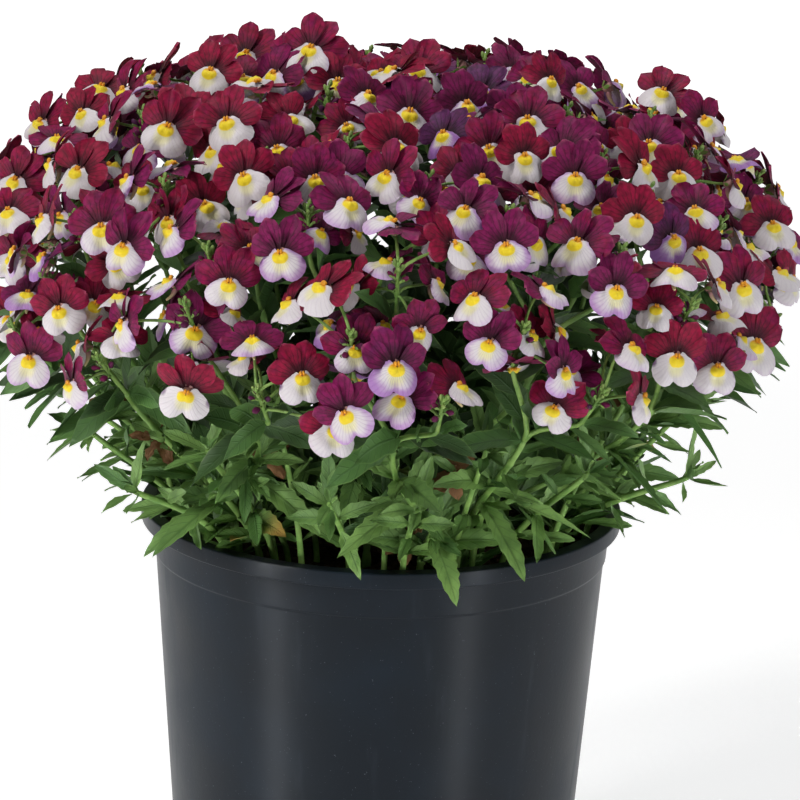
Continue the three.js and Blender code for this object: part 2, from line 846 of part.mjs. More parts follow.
// A raceme from a port of the head's stalk: its core thickens to the buds and ends in a point
function addRaceme(body, port, raceme) {
  const open = [];
  let ring = port;
  RACEME.rings.forEach(([level, radius], k) => {
    const frame = frameAt(raceme.foot, raceme.axis, FRONT);
    const grown = growTurned(body, ring, ringPoints(frame, radius, 3, level));
    if (k === 0) grown.sides.forEach((side) => body.cap(side));
    else open.push(...grown.sides.flatMap(halves));
    ring = grown.ring;
  });
  const tip = body.corner(raceme.tip);
  open.push(...ring.map((corner, k) => [corner, ring[(k + 1) % 3], tip]));
  for (const bloom of raceme.blooms) {
    const ports = byCost(body, open, onBloom(bloom, [0, 0, -BLOOM.calyxDepth]));
    const port = ports.find((one) => triedBloom(body, one, bloom, open));
    if (port) open.splice(open.indexOf(port), 1);
  }
  body.faces.push(...open);
}

function headBody(head) {
  const body = new Body();
  const [upper, lower] = head.racemes;
  const frame = frameAt(head.base, head.axis, FRONT);
  const base = body.start(ringPoints(frame, RACEME.stalkRadius, 3));
  const low = body.grow(base, ringPoints(frame, RACEME.stalkRadius, 3, RACEME.crown));
  low.sides.forEach((side) => body.cap(side));
  const crown = RACEME.crown + RACEME.forkHeight;
  const high = body.grow(low.ring, ringPoints(frame, RACEME.stalkRadius, 3, crown));
  const open = high.sides.flatMap(halves);
  const [fork, ...others] = byCost(body, open, lower.foot);
  body.faces.push(...others);
  addRaceme(body, high.ring, upper);
  addRaceme(body, fork, lower);
  return body;
}

// Leaves. Half of one's outline from the base to the tip: share of the length, share of the half width
const LEAF_EDGE = [
  [0.14, 0.42],
  [0.42, 1],
  [0.74, 0.66],
];
const LEAF_RIB = 0.45; // where the blade is thickest, as a share of the length
const RIB_ABOVE = 0.4; // share of the thickness that lies above the edges
// Balls along it: share of the length, and radius as a share of the half width
const LEAF_BALLS = [[0.3, 0.8], [0.45, 0.9], [0.62, 0.75], [0.8, 0.5], [0.97, 0.3]];
// Tries for a leaf: turn about the stem, change of lift, both in degrees, and size
const LEAF_TRIES = [
  [0, 0, 1],
  [28, 0, 1],
  [-28, 0, 1],
  [0, 22, 1],
  [0, -20, 1],
  [50, 10, 0.9],
  [-50, 10, 0.9],
  [20, 30, 0.8],
  [-20, 30, 0.8],
  [75, 0, 0.8],
  [-75, 0, 0.8],
  [0, 45, 0.75],
];

// A leaf leaves its stem at one side of a corner, turned by angle about the stem and raised by lift
function leafAt(frame, side, angle, lift, length) {
  const out = aside(frame, ((side - 1) * Math.PI) / 2 + angle);
  const along = out.clone().multiplyScalar(Math.cos(lift)).addScaledVector(frame.along, Math.sin(lift));
  const face = frame.along.clone().addScaledVector(along, -frame.along.dot(along)).normalize();
  const at = frame.at.clone().addScaledVector(sideNormal(frame, side), STEM.tipWidth / 2);
  return { at, side, along, face, across: face.clone().cross(along), length };
}

// A point of a leaf at a share of its length, a share of its half width and a height over its blade
function onLeaf(leaf, along, across, height) {
  const half = (leaf.length * LEAF.widthShare) / 2;
  return leaf.at.clone()
    .addScaledVector(leaf.along, leaf.length * along)
    .addScaledVector(UP, -leaf.length * LEAF.droop * along * along)
    .addScaledVector(leaf.across, half * across)
    .addScaledVector(leaf.face, Math.abs(half * across) * LEAF.fold + height);
}

function leafBalls(leaf) {
  const half = (leaf.length * LEAF.widthShare) / 2;
  return LEAF_BALLS.map(([along, share]) => ({ at: onLeaf(leaf, along, 0, 0), r: half * share }));
}

function clearOfSoil(balls) {
  const lowest = SOIL.mound + SOIL.roughness - SOIL.drop;
  return balls.every(({ at, r }) => Math.hypot(at.x, at.y) > POT.rimRadius || at.z - r > lowest);
}

// A leaf grows from a four-sided port. Its two faces are fans round one corner each on the midrib.
function addLeaf(body, port, leaf) {
  const [lowLeft, lowRight, highRight, highLeft] = port;
  const edge = (side) => LEAF_EDGE.map(([along, across]) => (
    body.corner(onLeaf(leaf, along, side * across, 0))));
  const right = edge(1);
  const left = edge(-1);
  const tip = body.corner(onLeaf(leaf, 1, 0, 0));
  const above = body.corner(onLeaf(leaf, LEAF_RIB, 0, LEAF.thickness * RIB_ABOVE));
  const below = body.corner(onLeaf(leaf, LEAF_RIB, 0, LEAF.thickness * (RIB_ABOVE - 1)));
  body.fan([highRight, highLeft, ...left, tip, ...right.toReversed()], above);
  body.fan([lowLeft, lowRight, ...right, tip, ...left.toReversed()], below);
  body.faces.push([highRight, right[0], lowRight], [highLeft, lowLeft, left[0]]);
}

function placeLeaf(owner, frame, side, draw) {
  const angle = between(draw, -LEAF.turn, LEAF.turn);
  const lift = between(draw, LEAF.lowestLift, LEAF.highestLift) * DEGREE;
  const length = LEAF.length * between(draw, LEAF.shortest, LEAF.longest);
  for (const [turn, raised, size] of LEAF_TRIES) {
    const leaf = leafAt(frame, side, angle + turn * DEGREE, lift + raised * DEGREE, length * size);
    const balls = leafBalls(leaf);
    if (clearOfSoil(balls) && isClear(owner, balls, LEAF.nearStalks)) {
      claim(owner, balls);
      return leaf;
    }
  }
  return null;
}

// A pair of leaves on opposite sides of a corner, at right angles to the pair below or to a branch there
function placePair(owner, plan, frames, corner, branchSide, draw) {
  const first = branchSide === null ? corner % 2 : (branchSide + 1) % 4;
  for (const side of [first, (first + 2) % 4]) {
    const leaf = placeLeaf(owner, frames[corner], side, draw);
    if (leaf) plan.leaves.push({ ...leaf, corner });
  }
}

function placeAllLeaves() {
  const draw = seededDraws(2909);
  shoots.forEach((shoot, i) => SHOOT.leafCorners.forEach((corner) => (
    placePair(`shoot_${i}`, shoot, shoot.axis, corner, null, draw))));
  for (let i = stems.length - 1; i >= 0; i--) {
    const stem = stems[i];
    for (const corner of stem.ring.axisLeaves) {
      const branch = stem.branches.find((one) => one.corner === corner);
      placePair(`stem_${i}`, stem, stem.axis, corner, branch ? branch.side : null, draw);
    }
    for (const branch of stem.branches) {
      for (const corner of stem.ring.sideLeaves) {
        placePair(`stem_${i}`, branch, branch.frames, corner, null, draw);
      }
    }
  }
}

placeAllLeaves();

// A four-sided stalk from a port, or from a first ring of its own. Where it carries leaves or a branch, a
// corner of the polyline becomes two rings close together, and these grow from the sides between them.
function addStalk(body, start, plan, frames, widths, branches) {
  let ring = start;
  frames.forEach((frame, i) => {
    if (i === 0 && start) return;
    const share = i / (frames.length - 1);
    const radius = (widths[0] + (widths[1] - widths[0]) * share) * Math.SQRT1_2;
    const leaves = plan.leaves.filter((leaf) => leaf.corner === i);
    const forks = branches.filter((branch) => branch.corner === i);
    const knot = leaves.length + forks.length > 0;
    const half = knot ? STEM.nodeHeight / 2 : 0;
    const points = ringPoints(frame, radius, 4, -half);
    if (ring) {
      const grown = body.grow(ring, points);
      grown.sides.forEach((side) => body.cap(side));
      ring = grown.ring;
    } else {
      ring = body.start(points);
    }
    if (knot) {
      const grown = body.grow(ring, ringPoints(frame, radius, 4, half));
      grown.sides.forEach((side, k) => {
        const leaf = leaves.find((one) => one.side === k);
        const fork = forks.find((one) => one.side === k);
        if (leaf) addLeaf(body, side, leaf);
        else if (fork) addStalk(body, side, fork, fork.frames, [STEM.sideWidth, STEM.tipWidth], []);
        else body.cap(side);
      });
      ring = grown.ring;
    }
  });
  body.cap(ring);
}

function stemBody(stem) {
  const body = new Body();
  addStalk(body, null, stem, stem.axis, [STEM.footWidth, STEM.tipWidth], stem.branches);
  return body;
}

// The whole part
const numbered = (name, i) => `${name}_${String(i + 1).padStart(2, '0')}`;

const group = new THREE.Group();
const plant = new THREE.Group();
plant.position.z = POT.height;
const feet = [...stems, ...shoots].map((stem) => stem.axis[0]);

group.add(meshOf('pot', potGeometry(), 0x2b3138, 0.45));
group.add(meshOf('soil', soilGeometry(feet), 0x2c211a, 0.95));
stems.forEach((stem, i) => {
  const geometry = stemBody(stem).geometry();
  plant.add(meshOf(numbered('stem', i), geometry, 0x6f9a4a, 0.6, stem.axis[0].at));
});
shoots.forEach((shoot, i) => {
  const geometry = stemBody(shoot).geometry();
  plant.add(meshOf(numbered('shoot', i), geometry, 0x5a8340, 0.6, shoot.axis[0].at));
});
heads.forEach((head, i) => {
  const geometry = headBody(head).geometry();
  plant.add(meshOf(numbered('head', i), geometry, 0x9a1140, 0.55, head.base));
});
group.add(plant);

export default group;
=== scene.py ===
"""A nemesia in a nursery pot: crimson and magenta blooms with white lips and yellow palates, square green
stems, toothed leaves, dark potting soil and a satin blue-black pot. Metres, in the frame of the part.
The plant is worked out in millimetres from the rim's height, by the same rule that placed its solids.
"""

from math import acos, cos, exp, floor, hypot, pi, radians, sin, sqrt

import bmesh
import bpy
import numpy as np
from mathutils import Matrix, Vector


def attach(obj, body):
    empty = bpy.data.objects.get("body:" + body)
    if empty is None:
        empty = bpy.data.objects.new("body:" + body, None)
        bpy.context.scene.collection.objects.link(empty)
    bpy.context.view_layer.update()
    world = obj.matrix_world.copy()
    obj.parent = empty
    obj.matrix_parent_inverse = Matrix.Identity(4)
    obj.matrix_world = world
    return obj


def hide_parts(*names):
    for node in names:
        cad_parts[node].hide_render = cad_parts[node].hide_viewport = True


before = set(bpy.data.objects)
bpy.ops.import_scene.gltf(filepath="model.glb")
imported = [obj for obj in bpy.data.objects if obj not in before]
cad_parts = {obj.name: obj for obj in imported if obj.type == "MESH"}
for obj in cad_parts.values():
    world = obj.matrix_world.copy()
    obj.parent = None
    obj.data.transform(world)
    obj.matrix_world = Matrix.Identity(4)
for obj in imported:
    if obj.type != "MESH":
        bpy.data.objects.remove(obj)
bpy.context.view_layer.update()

# Driving sizes, in millimetres
GAP = 0.3
POT_HEIGHT = 165
RIM_RADIUS = 82.5
SOIL_DROP = 12
SOIL_MOUND = 3
SOIL_ROUGHNESS = 0.8
HOLE_DEPTH = 9

DOME_RADIUS = 138
DOME_WAIST = 84
DOME_RISE = 64
DOME_DROP = 74
DOME_SQUARENESS = 2.33
DOME_LOWEST = 64
DOME_WAVES = ((0.03, 3, 0.8), (0.018, 7, 2))  # depth, waves all round, phase
PEAKS = ((-31, -6, 11, 22), (-92, 8, 5, 26), (96, 22, 4, 26))  # x, y, height, spread

# Rings of heads from the top down: heads, radius of the feet, corners with forks and with leaf pairs
RINGS = (
    {"heads": 3, "foot": 0, "forks": (3, 4), "axis_leaves": (2,), "side_leaves": ()},
    {"heads": 9, "foot": 22, "forks": (3, 4), "axis_leaves": (2,), "side_leaves": ()},
    {"heads": 12, "foot": 42, "forks": (2, 3), "axis_leaves": (2, 3, 4), "side_leaves": (1, 2)},
    {"heads": 15, "foot": 62, "forks": (2, 3), "axis_leaves": (1, 2, 3, 4, 5), "side_leaves": (1, 2, 3)},
)
HEADS_PER_STEM = 3
HEAD_OUTWARD = 0.55
HEAD_UP = 0.65
HEAD_TWIST = 0.35
HEAD_JITTER = 0.05

STEM_FOOT_WIDTH = 3.2
STEM_TIP_WIDTH = 2
STEM_SIDE_WIDTH = 2.1
STEM_STEPS = 6
STEM_SIDE_STEPS = 4
STEM_COLLAR = 4
STEM_PULL = 0.3
STEM_PUSH = 0.35

RACEME_REACH = 44
RACEME_LENGTH = 26
RACEME_LEAD = 8
RACEME_LEAD_SPREAD = 2
RACEME_CROWN = 5
RACEME_LOWEST_ROOT = -19
RACEME_HIGHEST_ROOT = -9
RACEME_ROOT_BELOW = 5
RACEME_WAIST = 0.4
RACEME_BALLS = (1.6, 2.4, 3)  # radii of its stalk's balls up to its foot, its waist and its tip

BLOOM_COUNT = 360
BLOOM_THINNED_FROM = 0.86
BLOOM_THINNED_SHARE = 0.25
BLOOM_SIZES = (0.9, 1.06)
BLOOM_CALYX_DEPTH = 4.6
BLOOM_DRAWN_IN = 0.07
BLOOM_ROLL = 0.28
BLOOM_TRIES = 28
WIDEST_IN = 12
WIDEST_OUT = 6
WIDEST_TURN = radians(40)
WIDEST_SLIDE = 5
WIDEST_SHRINK = 0.14

FACING_FRONT = 0.5
FACING_FRONT_LOST_AT_SIDE = 0.28
FACING_UP = 0.12
FACING_UP_ON_TOP = 0.26
FACING_OFF_AXIS = 0.45
FACING_SIDEWAYS = 0.25
FACING_TILT = 0.14
FACING_LEAST_BEHIND = 0.95
CARRIER_AHEAD_COST = 3

LEAF_LENGTH = 33
LEAF_LENGTHS = (0.85, 1.15)
LEAF_WIDTH_SHARE = 0.3
LEAF_DROOP = 0.25
LEAF_FOLD = 0.25
LEAF_LIFTS = (20, 42)
LEAF_TURN = 0.25
LEAF_NEAR_STALKS = 0.7

SHOOT_AZIMUTHS = (-88, -38, 12, 63, 128, -150)
SHOOT_FOOT_RADIUS = (63, 66)
SHOOT_TIP_RADIUS = (84, 92)
SHOOT_TIP_HEIGHT = (18, 28)
SHOOT_PULL = 12
SHOOT_PUSH = 8
SHOOT_STEPS = 4
SHOOT_LEAF_CORNERS = (2, 3, 4)

BALL_SPACING = 4
BALL_REACH = 12
OWN_BLADES_APART = 1.08

# The camera, at the photograph's height and tilt
CAMERA_AIM = Vector((0.0055, 0, 0.2015))
CAMERA_ELEVATION = radians(15.6)
CAMERA_ROLL = radians(1.6)
CAMERA_DISTANCE = 1.7
CAMERA_FOCAL = 223.3
CAMERA_SENSOR = 36

# Lights: name, place, aim, size, power, colour and spread in degrees
LIGHTS = (
    ("key", (-1.05, -0.85, 1.25), (0, 0, 0.2), (0.26, 0.9), 16.5, (1, 0.985, 0.96), 180),
    ("fill", (1.1, -1.1, 0.6), (0, 0, 0.2), (0.16, 1.0), 6, (0.96, 0.98, 1), 180),
    ("top", (0.1, 0.4, 1.5), (0, 0, 0.2), (0.8, 0.6), 8.5, (1, 1, 1), 180),
)
# Narrow strips that make the upright highlights on the pot: name, azimuth in degrees and power
STRIPS = (("left_strip", -141, 0.12), ("right_strip", -47, 0.075))
STRIP_AWAY = 1.1
STRIP_HEIGHT = 0.13
STRIP_AIM = (0, 0, 0.04)
STRIP_SIZE = (0.08, 0.2)
STRIP_COLOUR = (0.92, 0.96, 1)
STRIP_SPREAD = 24
WORLD_COLOUR = (0.95, 0.975, 1, 1)
WORLD_STRENGTH = 0.13


def linked(name, data):
    """A new object in the scene."""
    obj = bpy.data.objects.new(name, data)
    bpy.context.scene.collection.objects.link(obj)
    return obj


def place_camera():
    camera = linked("camera", bpy.data.cameras.new("camera"))
    away = Vector((0, -cos(CAMERA_ELEVATION), sin(CAMERA_ELEVATION)))
    camera.location = CAMERA_AIM + away * CAMERA_DISTANCE
    turn = away.to_track_quat("Z", "Y").to_matrix() @ Matrix.Rotation(CAMERA_ROLL, 3, "Z")
    camera.rotation_euler = turn.to_euler()
    camera.data.lens = CAMERA_FOCAL
    camera.data.sensor_width = CAMERA_SENSOR
    bpy.context.scene.camera = camera


def area_light(name, place, aim, size, power, colour, spread):
    light = linked(name, bpy.data.lights.new(name, "AREA"))
    light.location = place
    light.rotation_euler = (Vector(place) - Vector(aim)).to_track_quat("Z", "Y").to_euler()
    light.data.shape = "RECTANGLE"
    light.data.size, light.data.size_y = size
    light.data.energy = power
    light.data.color = colour
    light.data.spread = radians(spread)


def place_lights():
    for light in LIGHTS:
        area_light(*light)
    for name, azimuth, power in STRIPS:
        turn = radians(azimuth)
        place = (STRIP_AWAY * cos(turn), STRIP_AWAY * sin(turn), STRIP_HEIGHT)
        area_light(name, place, STRIP_AIM, STRIP_SIZE, power, STRIP_COLOUR, STRIP_SPREAD)
    world = bpy.data.worlds.new("studio")
    bpy.context.scene.world = world
    world.use_nodes = True
    background = world.node_tree.nodes["Background"]
    background.inputs["Color"].default_value = WORLD_COLOUR
    background.inputs["Strength"].default_value = WORLD_STRENGTH
    bpy.context.scene.view_settings.view_transform = "Standard"


place_camera()
place_lights()


# Small helpers for directions and draws
UP = np.array([0.0, 0.0, 1.0])
FRONT = np.array([0.0, -1.0, 0.0])
GOLDEN_ANGLE = pi * (3 - sqrt(5))


def unit(vector):
    return vector / np.linalg.norm(vector)


def seeded_draws(seed):
    state = seed

    def draw():
        nonlocal state
        state = (state * 16807) % 2147483647
        return state / 2147483647

    return draw


def between(draw, low, high):
    return low + (high - low) * draw()


def mixed(a, b, share):
    return a + (b - a) * share


def turned_about(vector, axis, angle):
    cosine = cos(angle)
    return (
        vector * cosine
        + np.cross(axis, vector) * sin(angle)
        + axis * np.dot(axis, vector) * (1 - cosine)
    )


def azimuth_direction(azimuth):
    return np.array([sin(azimuth), -cos(azimuth), 0.0])


def curve_points(start, pull, push, end, steps):
    t = (np.arange(steps + 1) / steps)[:, None]
    s = 1 - t
    return s**3 * start + 3 * s**2 * t * pull + 3 * s * t**2 * push + t**3 * end


def frames_along(points, first_up):
    """The place, the direction along and the upper and right-hand sides at each corner of a polyline."""
    up = first_up
    frames = []
    for i, at in enumerate(points):
        ahead = points[min(i + 1, len(points) - 1)]
        behind = points[max(i - 1, 0)]
        along = unit(ahead - behind)
        up = unit(up - along * np.dot(up, along))
        frames.append({"at": at, "along": along, "up": up, "right": np.cross(up, along)})
    return frames


def aside(frame, angle):
    return frame["right"] * cos(angle) + frame["up"] * sin(angle)


def side_normal(frame, side):
    return aside(frame, (side - 1) * pi / 2)


# The dome
def profile_at(angle):
    power = 2 / DOME_SQUARENESS
    across = cos(angle)
    reach = DOME_RISE if across > 0 else -DOME_DROP
    return DOME_RADIUS * sin(angle) ** power, DOME_WAIST + reach * abs(across) ** power


PROFILE_STEPS = 200


def area_rows():
    lowest = acos(-(((DOME_WAIST - DOME_LOWEST) / DOME_DROP) ** (DOME_SQUARENESS / 2)))
    r, z = profile_at(0)
    rows = [(r, z, 0.0)]
    for i in range(1, PROFILE_STEPS + 1):
        before = rows[i - 1]
        r, z = profile_at(lowest * i / PROFILE_STEPS)
        slant = hypot(r - before[0], z - before[1])
        rows.append((r, z, before[2] + pi * (r + before[0]) * slant))
    return rows


profile_rows = area_rows()


def dome_place(share, azimuth):
    area = share * profile_rows[-1][2]
    i = 1
    while i < PROFILE_STEPS and profile_rows[i][2] < area:
        i += 1
    above, below = profile_rows[i - 1], profile_rows[i]
    part = (area - above[2]) / (below[2] - above[2])
    wave = 1 + sum(depth * sin(count * azimuth + phase) for depth, count, phase in DOME_WAVES)
    outward = azimuth_direction(azimuth)
    point = outward * (above[0] + (below[0] - above[0]) * part) * wave
    point[2] = above[1] + (below[1] - above[1]) * part
    for x, y, height, spread in PEAKS:
        away = ((point[0] - x) ** 2 + (point[1] - y) ** 2) / (2 * spread**2)
        point[2] += height * exp(-away) * (point[2] - DOME_LOWEST) / DOME_RISE
    normal = outward * (above[1] - below[1])
    normal[2] = below[0] - above[0]
    return {"point": point, "normal": unit(normal), "outward": outward}


# The balls that stand for what is placed already: middle, radius, owner, and whether they are stalk
MOST_BALLS = 30000
claimed_at = np.zeros((MOST_BALLS, 3))
claimed_r = np.zeros(MOST_BALLS)
claimed_owner = np.zeros(MOST_BALLS, int)
claimed_stalk = np.zeros(MOST_BALLS, bool)
claimed_count = 0
owner_numbers = {}


def claim(owner, balls):
    global claimed_count
    number = owner_numbers.setdefault(owner, len(owner_numbers))
    for at, r, stalk in balls:
        claimed_at[claimed_count] = at
        claimed_r[claimed_count] = r
        claimed_owner[claimed_count] = number
        claimed_stalk[claimed_count] = stalk
        claimed_count += 1


def is_clear(owner, balls, own_share):
    number = owner_numbers.setdefault(owner, len(owner_numbers))
    at = np.array([ball[0] for ball in balls])
    r = np.array([ball[1] for ball in balls])
    stalk = np.array([ball[2] for ball in balls])
    middle = at.mean(0)
    reach = np.sqrt(((at - middle) ** 2).sum(1)).max() + BALL_REACH
    near = np.flatnonzero(((claimed_at[:claimed_count] - middle) ** 2).sum(1) < reach**2)
    if len(near) == 0:
        return True
    own = claimed_owner[near] == number
    other_stalk = claimed_stalk[near]
    share = np.where(own & other_stalk, own_share, np.where(own, OWN_BLADES_APART, 1.0))
    apart = (r[:, None] + claimed_r[near] + GAP) * share
    squared = ((at[:, None] - claimed_at[near]) ** 2).sum(2)
    ignored = stalk[:, None] & (own & other_stalk)
    return not np.any((squared <= apart**2) & ~ignored)


def stalk_balls(points, r):
    return [(at, r, True) for at in points]


def points_between(a, b):
    steps = max(1, floor(np.linalg.norm(a - b) / BALL_SPACING + 0.5))
    return [mixed(a, b, i / steps) for i in range(steps + 1)]


# Heads and the stems that carry them
def risen(normal):
    return unit(normal * HEAD_OUTWARD + UP * HEAD_UP)


def head_plans():
    draw = seeded_draws(4217)
    plans = []
    share_above = 0
    every = sum(ring["heads"] for ring in RINGS)
    for level, ring in enumerate(RINGS):
        count = ring["heads"]
        share = share_above + count / every / 2
        share_above += count / every
        for i in range(count):
            azimuth = (i + 0.5) / count * pi * 2 + level * HEAD_TWIST
            azimuth += between(draw, -HEAD_JITTER, HEAD_JITTER)
            middle = dome_place(share, azimuth)
            axis = risen(middle["normal"])
            racemes = []
            for turn in (-1, 1):
                place = dome_place(
                    share + turn * count / every / 4, azimuth + turn * pi / 2 / count
                )
                stem = risen(place["normal"])
                lead = RACEME_LEAD + between(draw, -RACEME_LEAD_SPREAD, RACEME_LEAD_SPREAD)
                tip = place["point"] + stem * lead
                racemes.append({
                    "tip": tip,
                    "axis": stem,
                    "foot": tip - stem * RACEME_LENGTH,
                    "middle": place["point"],
                    "blooms": [],
                    "fillers": [],
                })
            plans.append({
                "level": level,
                "azimuth": azimuth,
                "base": middle["point"] - axis * RACEME_REACH,
                "axis": axis,
                "racemes": racemes,
            })
    return plans


def foot_at(outward, radius):
    foot = outward * radius
    foot[2] = -SOIL_DROP - HOLE_DEPTH
    return foot


def at_height(point, z):
    raised = point.copy()
    raised[2] = z
    return raised


def stem_bend(start, out, end, into):
    """The four places of a curve that leaves one place along out and comes into another along into."""
    span = np.linalg.norm(start - end)
    return start, start + out * span * STEM_PULL, end - into * span * STEM_PUSH, end


def stem_plans(heads):
    plans = []
    for first in range(0, len(heads), HEADS_PER_STEM):
        left, middle, right = heads[first : first + HEADS_PER_STEM]
        ring = RINGS[middle["level"]]
        outward = azimuth_direction(middle["azimuth"])
        foot = foot_at(outward, ring["foot"])
        collar = at_height(foot, STEM_COLLAR - SOIL_DROP)
        top = middle["base"] - middle["axis"] * GAP
        bend = stem_bend(collar, UP, top, middle["axis"])
        axis = frames_along([foot, *curve_points(*bend, STEM_STEPS)], outward)
        branches = []
        for head, corner in ((left, ring["forks"][0]), (right, ring["forks"][1])):
            fork = axis[corner]
            toward = head["base"] - fork["at"]
            side = max(range(4), key=lambda k: np.dot(side_normal(fork, k), toward))
            away = unit(side_normal(fork, side) + fork["along"])
            side_bend = stem_bend(fork["at"], away, head["base"] - head["axis"] * GAP, head["axis"])
            frames = frames_along(curve_points(*side_bend, STEM_SIDE_STEPS), fork["along"])
            branches.append({
                "corner": corner, "side": side, "frames": frames, "leaves": [], "bend": side_bend,
            })
        plans.append({
            "ring": ring, "axis": axis, "branches": branches, "leaves": [], "bend": bend, "foot": foot,
        })
    return plans


def shoot_plans():
    draw = seeded_draws(991)
    plans = []
    for degrees in SHOOT_AZIMUTHS:
        outward = azimuth_direction(radians(degrees))
        foot = foot_at(outward, between(draw, *SHOOT_FOOT_RADIUS))
        collar = at_height(foot, STEM_COLLAR - SOIL_DROP)
        top = outward * between(draw, *SHOOT_TIP_RADIUS)
        top = at_height(top, between(draw, *SHOOT_TIP_HEIGHT))
        bend = (collar, collar + UP * SHOOT_PULL, top - UP * SHOOT_PUSH - outward * SHOOT_PUSH, top)
        axis = frames_along([foot, *curve_points(*bend, SHOOT_STEPS)], outward)
        plans.append({"axis": axis, "branches": [], "leaves": [], "bend": bend, "foot": foot})
    return plans


heads = head_plans()
for number, head in enumerate(heads):
    for raceme in head["racemes"]:
        waist = mixed(raceme["foot"], raceme["tip"], RACEME_WAIST)
        stops = (head["base"], raceme["foot"], waist, raceme["tip"])
        for start, end, r in zip(stops, stops[1:], RACEME_BALLS):
            claim(f"head_{number}", stalk_balls(points_between(start, end), r))
stems = stem_plans(heads)
shoots = shoot_plans()


def claim_stalk(owner, frames):
    for i in range(len(frames) - 1):
        points = points_between(frames[i]["at"], frames[i + 1]["at"])
        claim(owner, stalk_balls(points, STEM_TIP_WIDTH))


for number, stem in enumerate(stems):
    claim_stalk(f"stem_{number}", stem["axis"])
    for branch in stem["branches"]:
        claim_stalk(f"stem_{number}", branch["frames"])
for number, shoot in enumerate(shoots):
    claim_stalk(f"shoot_{number}", shoot["axis"])

RIM_COLUMNS = 72
RIM_BALLS = ((80, -2.4), (79, -8), (78, -14), (77, -20))  # away from the axis and up from the rim's top
for column in range(RIM_COLUMNS):
    outward = azimuth_direction(column / RIM_COLUMNS * pi * 2)
    claim("pot", [(at_height(outward * r, z), 4, False) for r, z in RIM_BALLS])


# Blooms: balls over one in its own plane: x to the right, y up, z out of its face, and radius
HALF_BALLS = (
    (2.8, 9.4, -1.4, 2.4),
    (3.6, 5, -0.8, 2.8),
    (8, 4, -0.8, 2.6),
    (8.2, 0.8, -0.4, 2.2),
    (4.6, 0.6, 0, 2.6),
    (4.2, -8.4, 1.6, 2.4),
    (2.4, -4.8, 1, 2.6),
)
BLOOM_BALLS = (*HALF_BALLS, *((-x, y, z, r) for x, y, z, r in HALF_BALLS), (0, -1, -1, 2.6))
# Balls over a bloom's stalk: share of its length from the calyx, radius, and whether it counts as stalk
STALK_BALLS = ((0.2, 1.4, False), (0.42, 1.5, False), (0.64, 1.8, True), (0.86, 2.2, True))


def free_facing(place):
    rim = hypot(place["point"][0], place["point"][1]) / DOME_RADIUS
    return unit(
        place["outward"] * min(1, rim)
        + FRONT * (FACING_FRONT - FACING_FRONT_LOST_AT_SIDE * rim)
        + UP * (FACING_UP + FACING_UP_ON_TOP * place["normal"][2])
    )


def carrier_of(place, facing):
    best = None
    for number, head in enumerate(heads):
        for raceme in head["racemes"]:
            away = raceme["middle"] - place["point"]
            ahead = max(0, np.dot(away, facing))
            cost = np.dot(away, away) + CARRIER_AHEAD_COST * ahead * ahead
            if best is None or cost < best[0]:
                best = (cost, raceme, f"head_{number}")
    return best[1], best[2]


def bloom_start(share, azimuth, draw):
    """A bloom's place on the dome, its raceme with the raceme's owner, its facing and its roll."""
    place = dome_place(share, azimuth)
    free = free_facing(place)
    raceme, owner = carrier_of(place, free)
    off = place["point"] - raceme["tip"]
    off = unit(off - raceme["axis"] * np.dot(off, raceme["axis"]))
    facing = free + off * FACING_OFF_AXIS
    sideways = unit(np.cross(UP, facing))
    facing = facing + sideways * between(draw, -FACING_SIDEWAYS, FACING_SIDEWAYS)
    facing = unit(facing + UP * between(draw, -FACING_TILT, FACING_TILT))
    return place, raceme, owner, facing, between(draw, -BLOOM_ROLL, BLOOM_ROLL)


def stalk_root(raceme, at):
    level = np.dot(at - raceme["tip"], raceme["axis"]) - RACEME_ROOT_BELOW
    return raceme["tip"] + raceme["axis"] * min(RACEME_HIGHEST_ROOT, max(RACEME_LOWEST_ROOT, level))


def bloom_at(place, base_facing, roll, raceme, scale, spread, draw):
    turn = roll + spread * between(draw, -WIDEST_TURN, WIDEST_TURN)
    depth = spread * between(draw, -WIDEST_IN, WIDEST_OUT)
    slide = [spread * between(draw, -WIDEST_SLIDE, WIDEST_SLIDE) for _ in range(2)]
    sideways = unit(np.cross(UP, base_facing))
    at = (
        place["point"]
        + place["normal"] * depth
        + (raceme["middle"] - place["point"]) * BLOOM_DRAWN_IN
        + sideways * slide[0]
        + np.cross(base_facing, sideways) * slide[1]
    )
    root = stalk_root(raceme, at)
    stalk = unit(at - root)
    turned_away = max(0, FACING_LEAST_BEHIND - np.dot(base_facing, stalk))
    facing = unit(base_facing + stalk * turned_away)
    level = unit(np.cross(UP, facing))
    return {
        "at": at,
        "root": root,
        "right": turned_about(level, facing, turn),
        "up": turned_about(np.cross(facing, level), facing, turn),
        "facing": facing,
        "size": scale * (1 - WIDEST_SHRINK * spread),
    }


def on_bloom(bloom, x, y, z):
    offset = bloom["right"] * x + bloom["up"] * y + bloom["facing"] * z
    return bloom["at"] + offset * bloom["size"]


def bloom_balls(bloom):
    back = on_bloom(bloom, 0, 0, -BLOOM_CALYX_DEPTH)
    blades = [(on_bloom(bloom, x, y, z), r * bloom["size"], False) for x, y, z, r in BLOOM_BALLS]
    stalk = [(mixed(back, bloom["root"], share), r, loose) for share, r, loose in STALK_BALLS]
    return [*blades, (back, 1.8, False), *stalk]


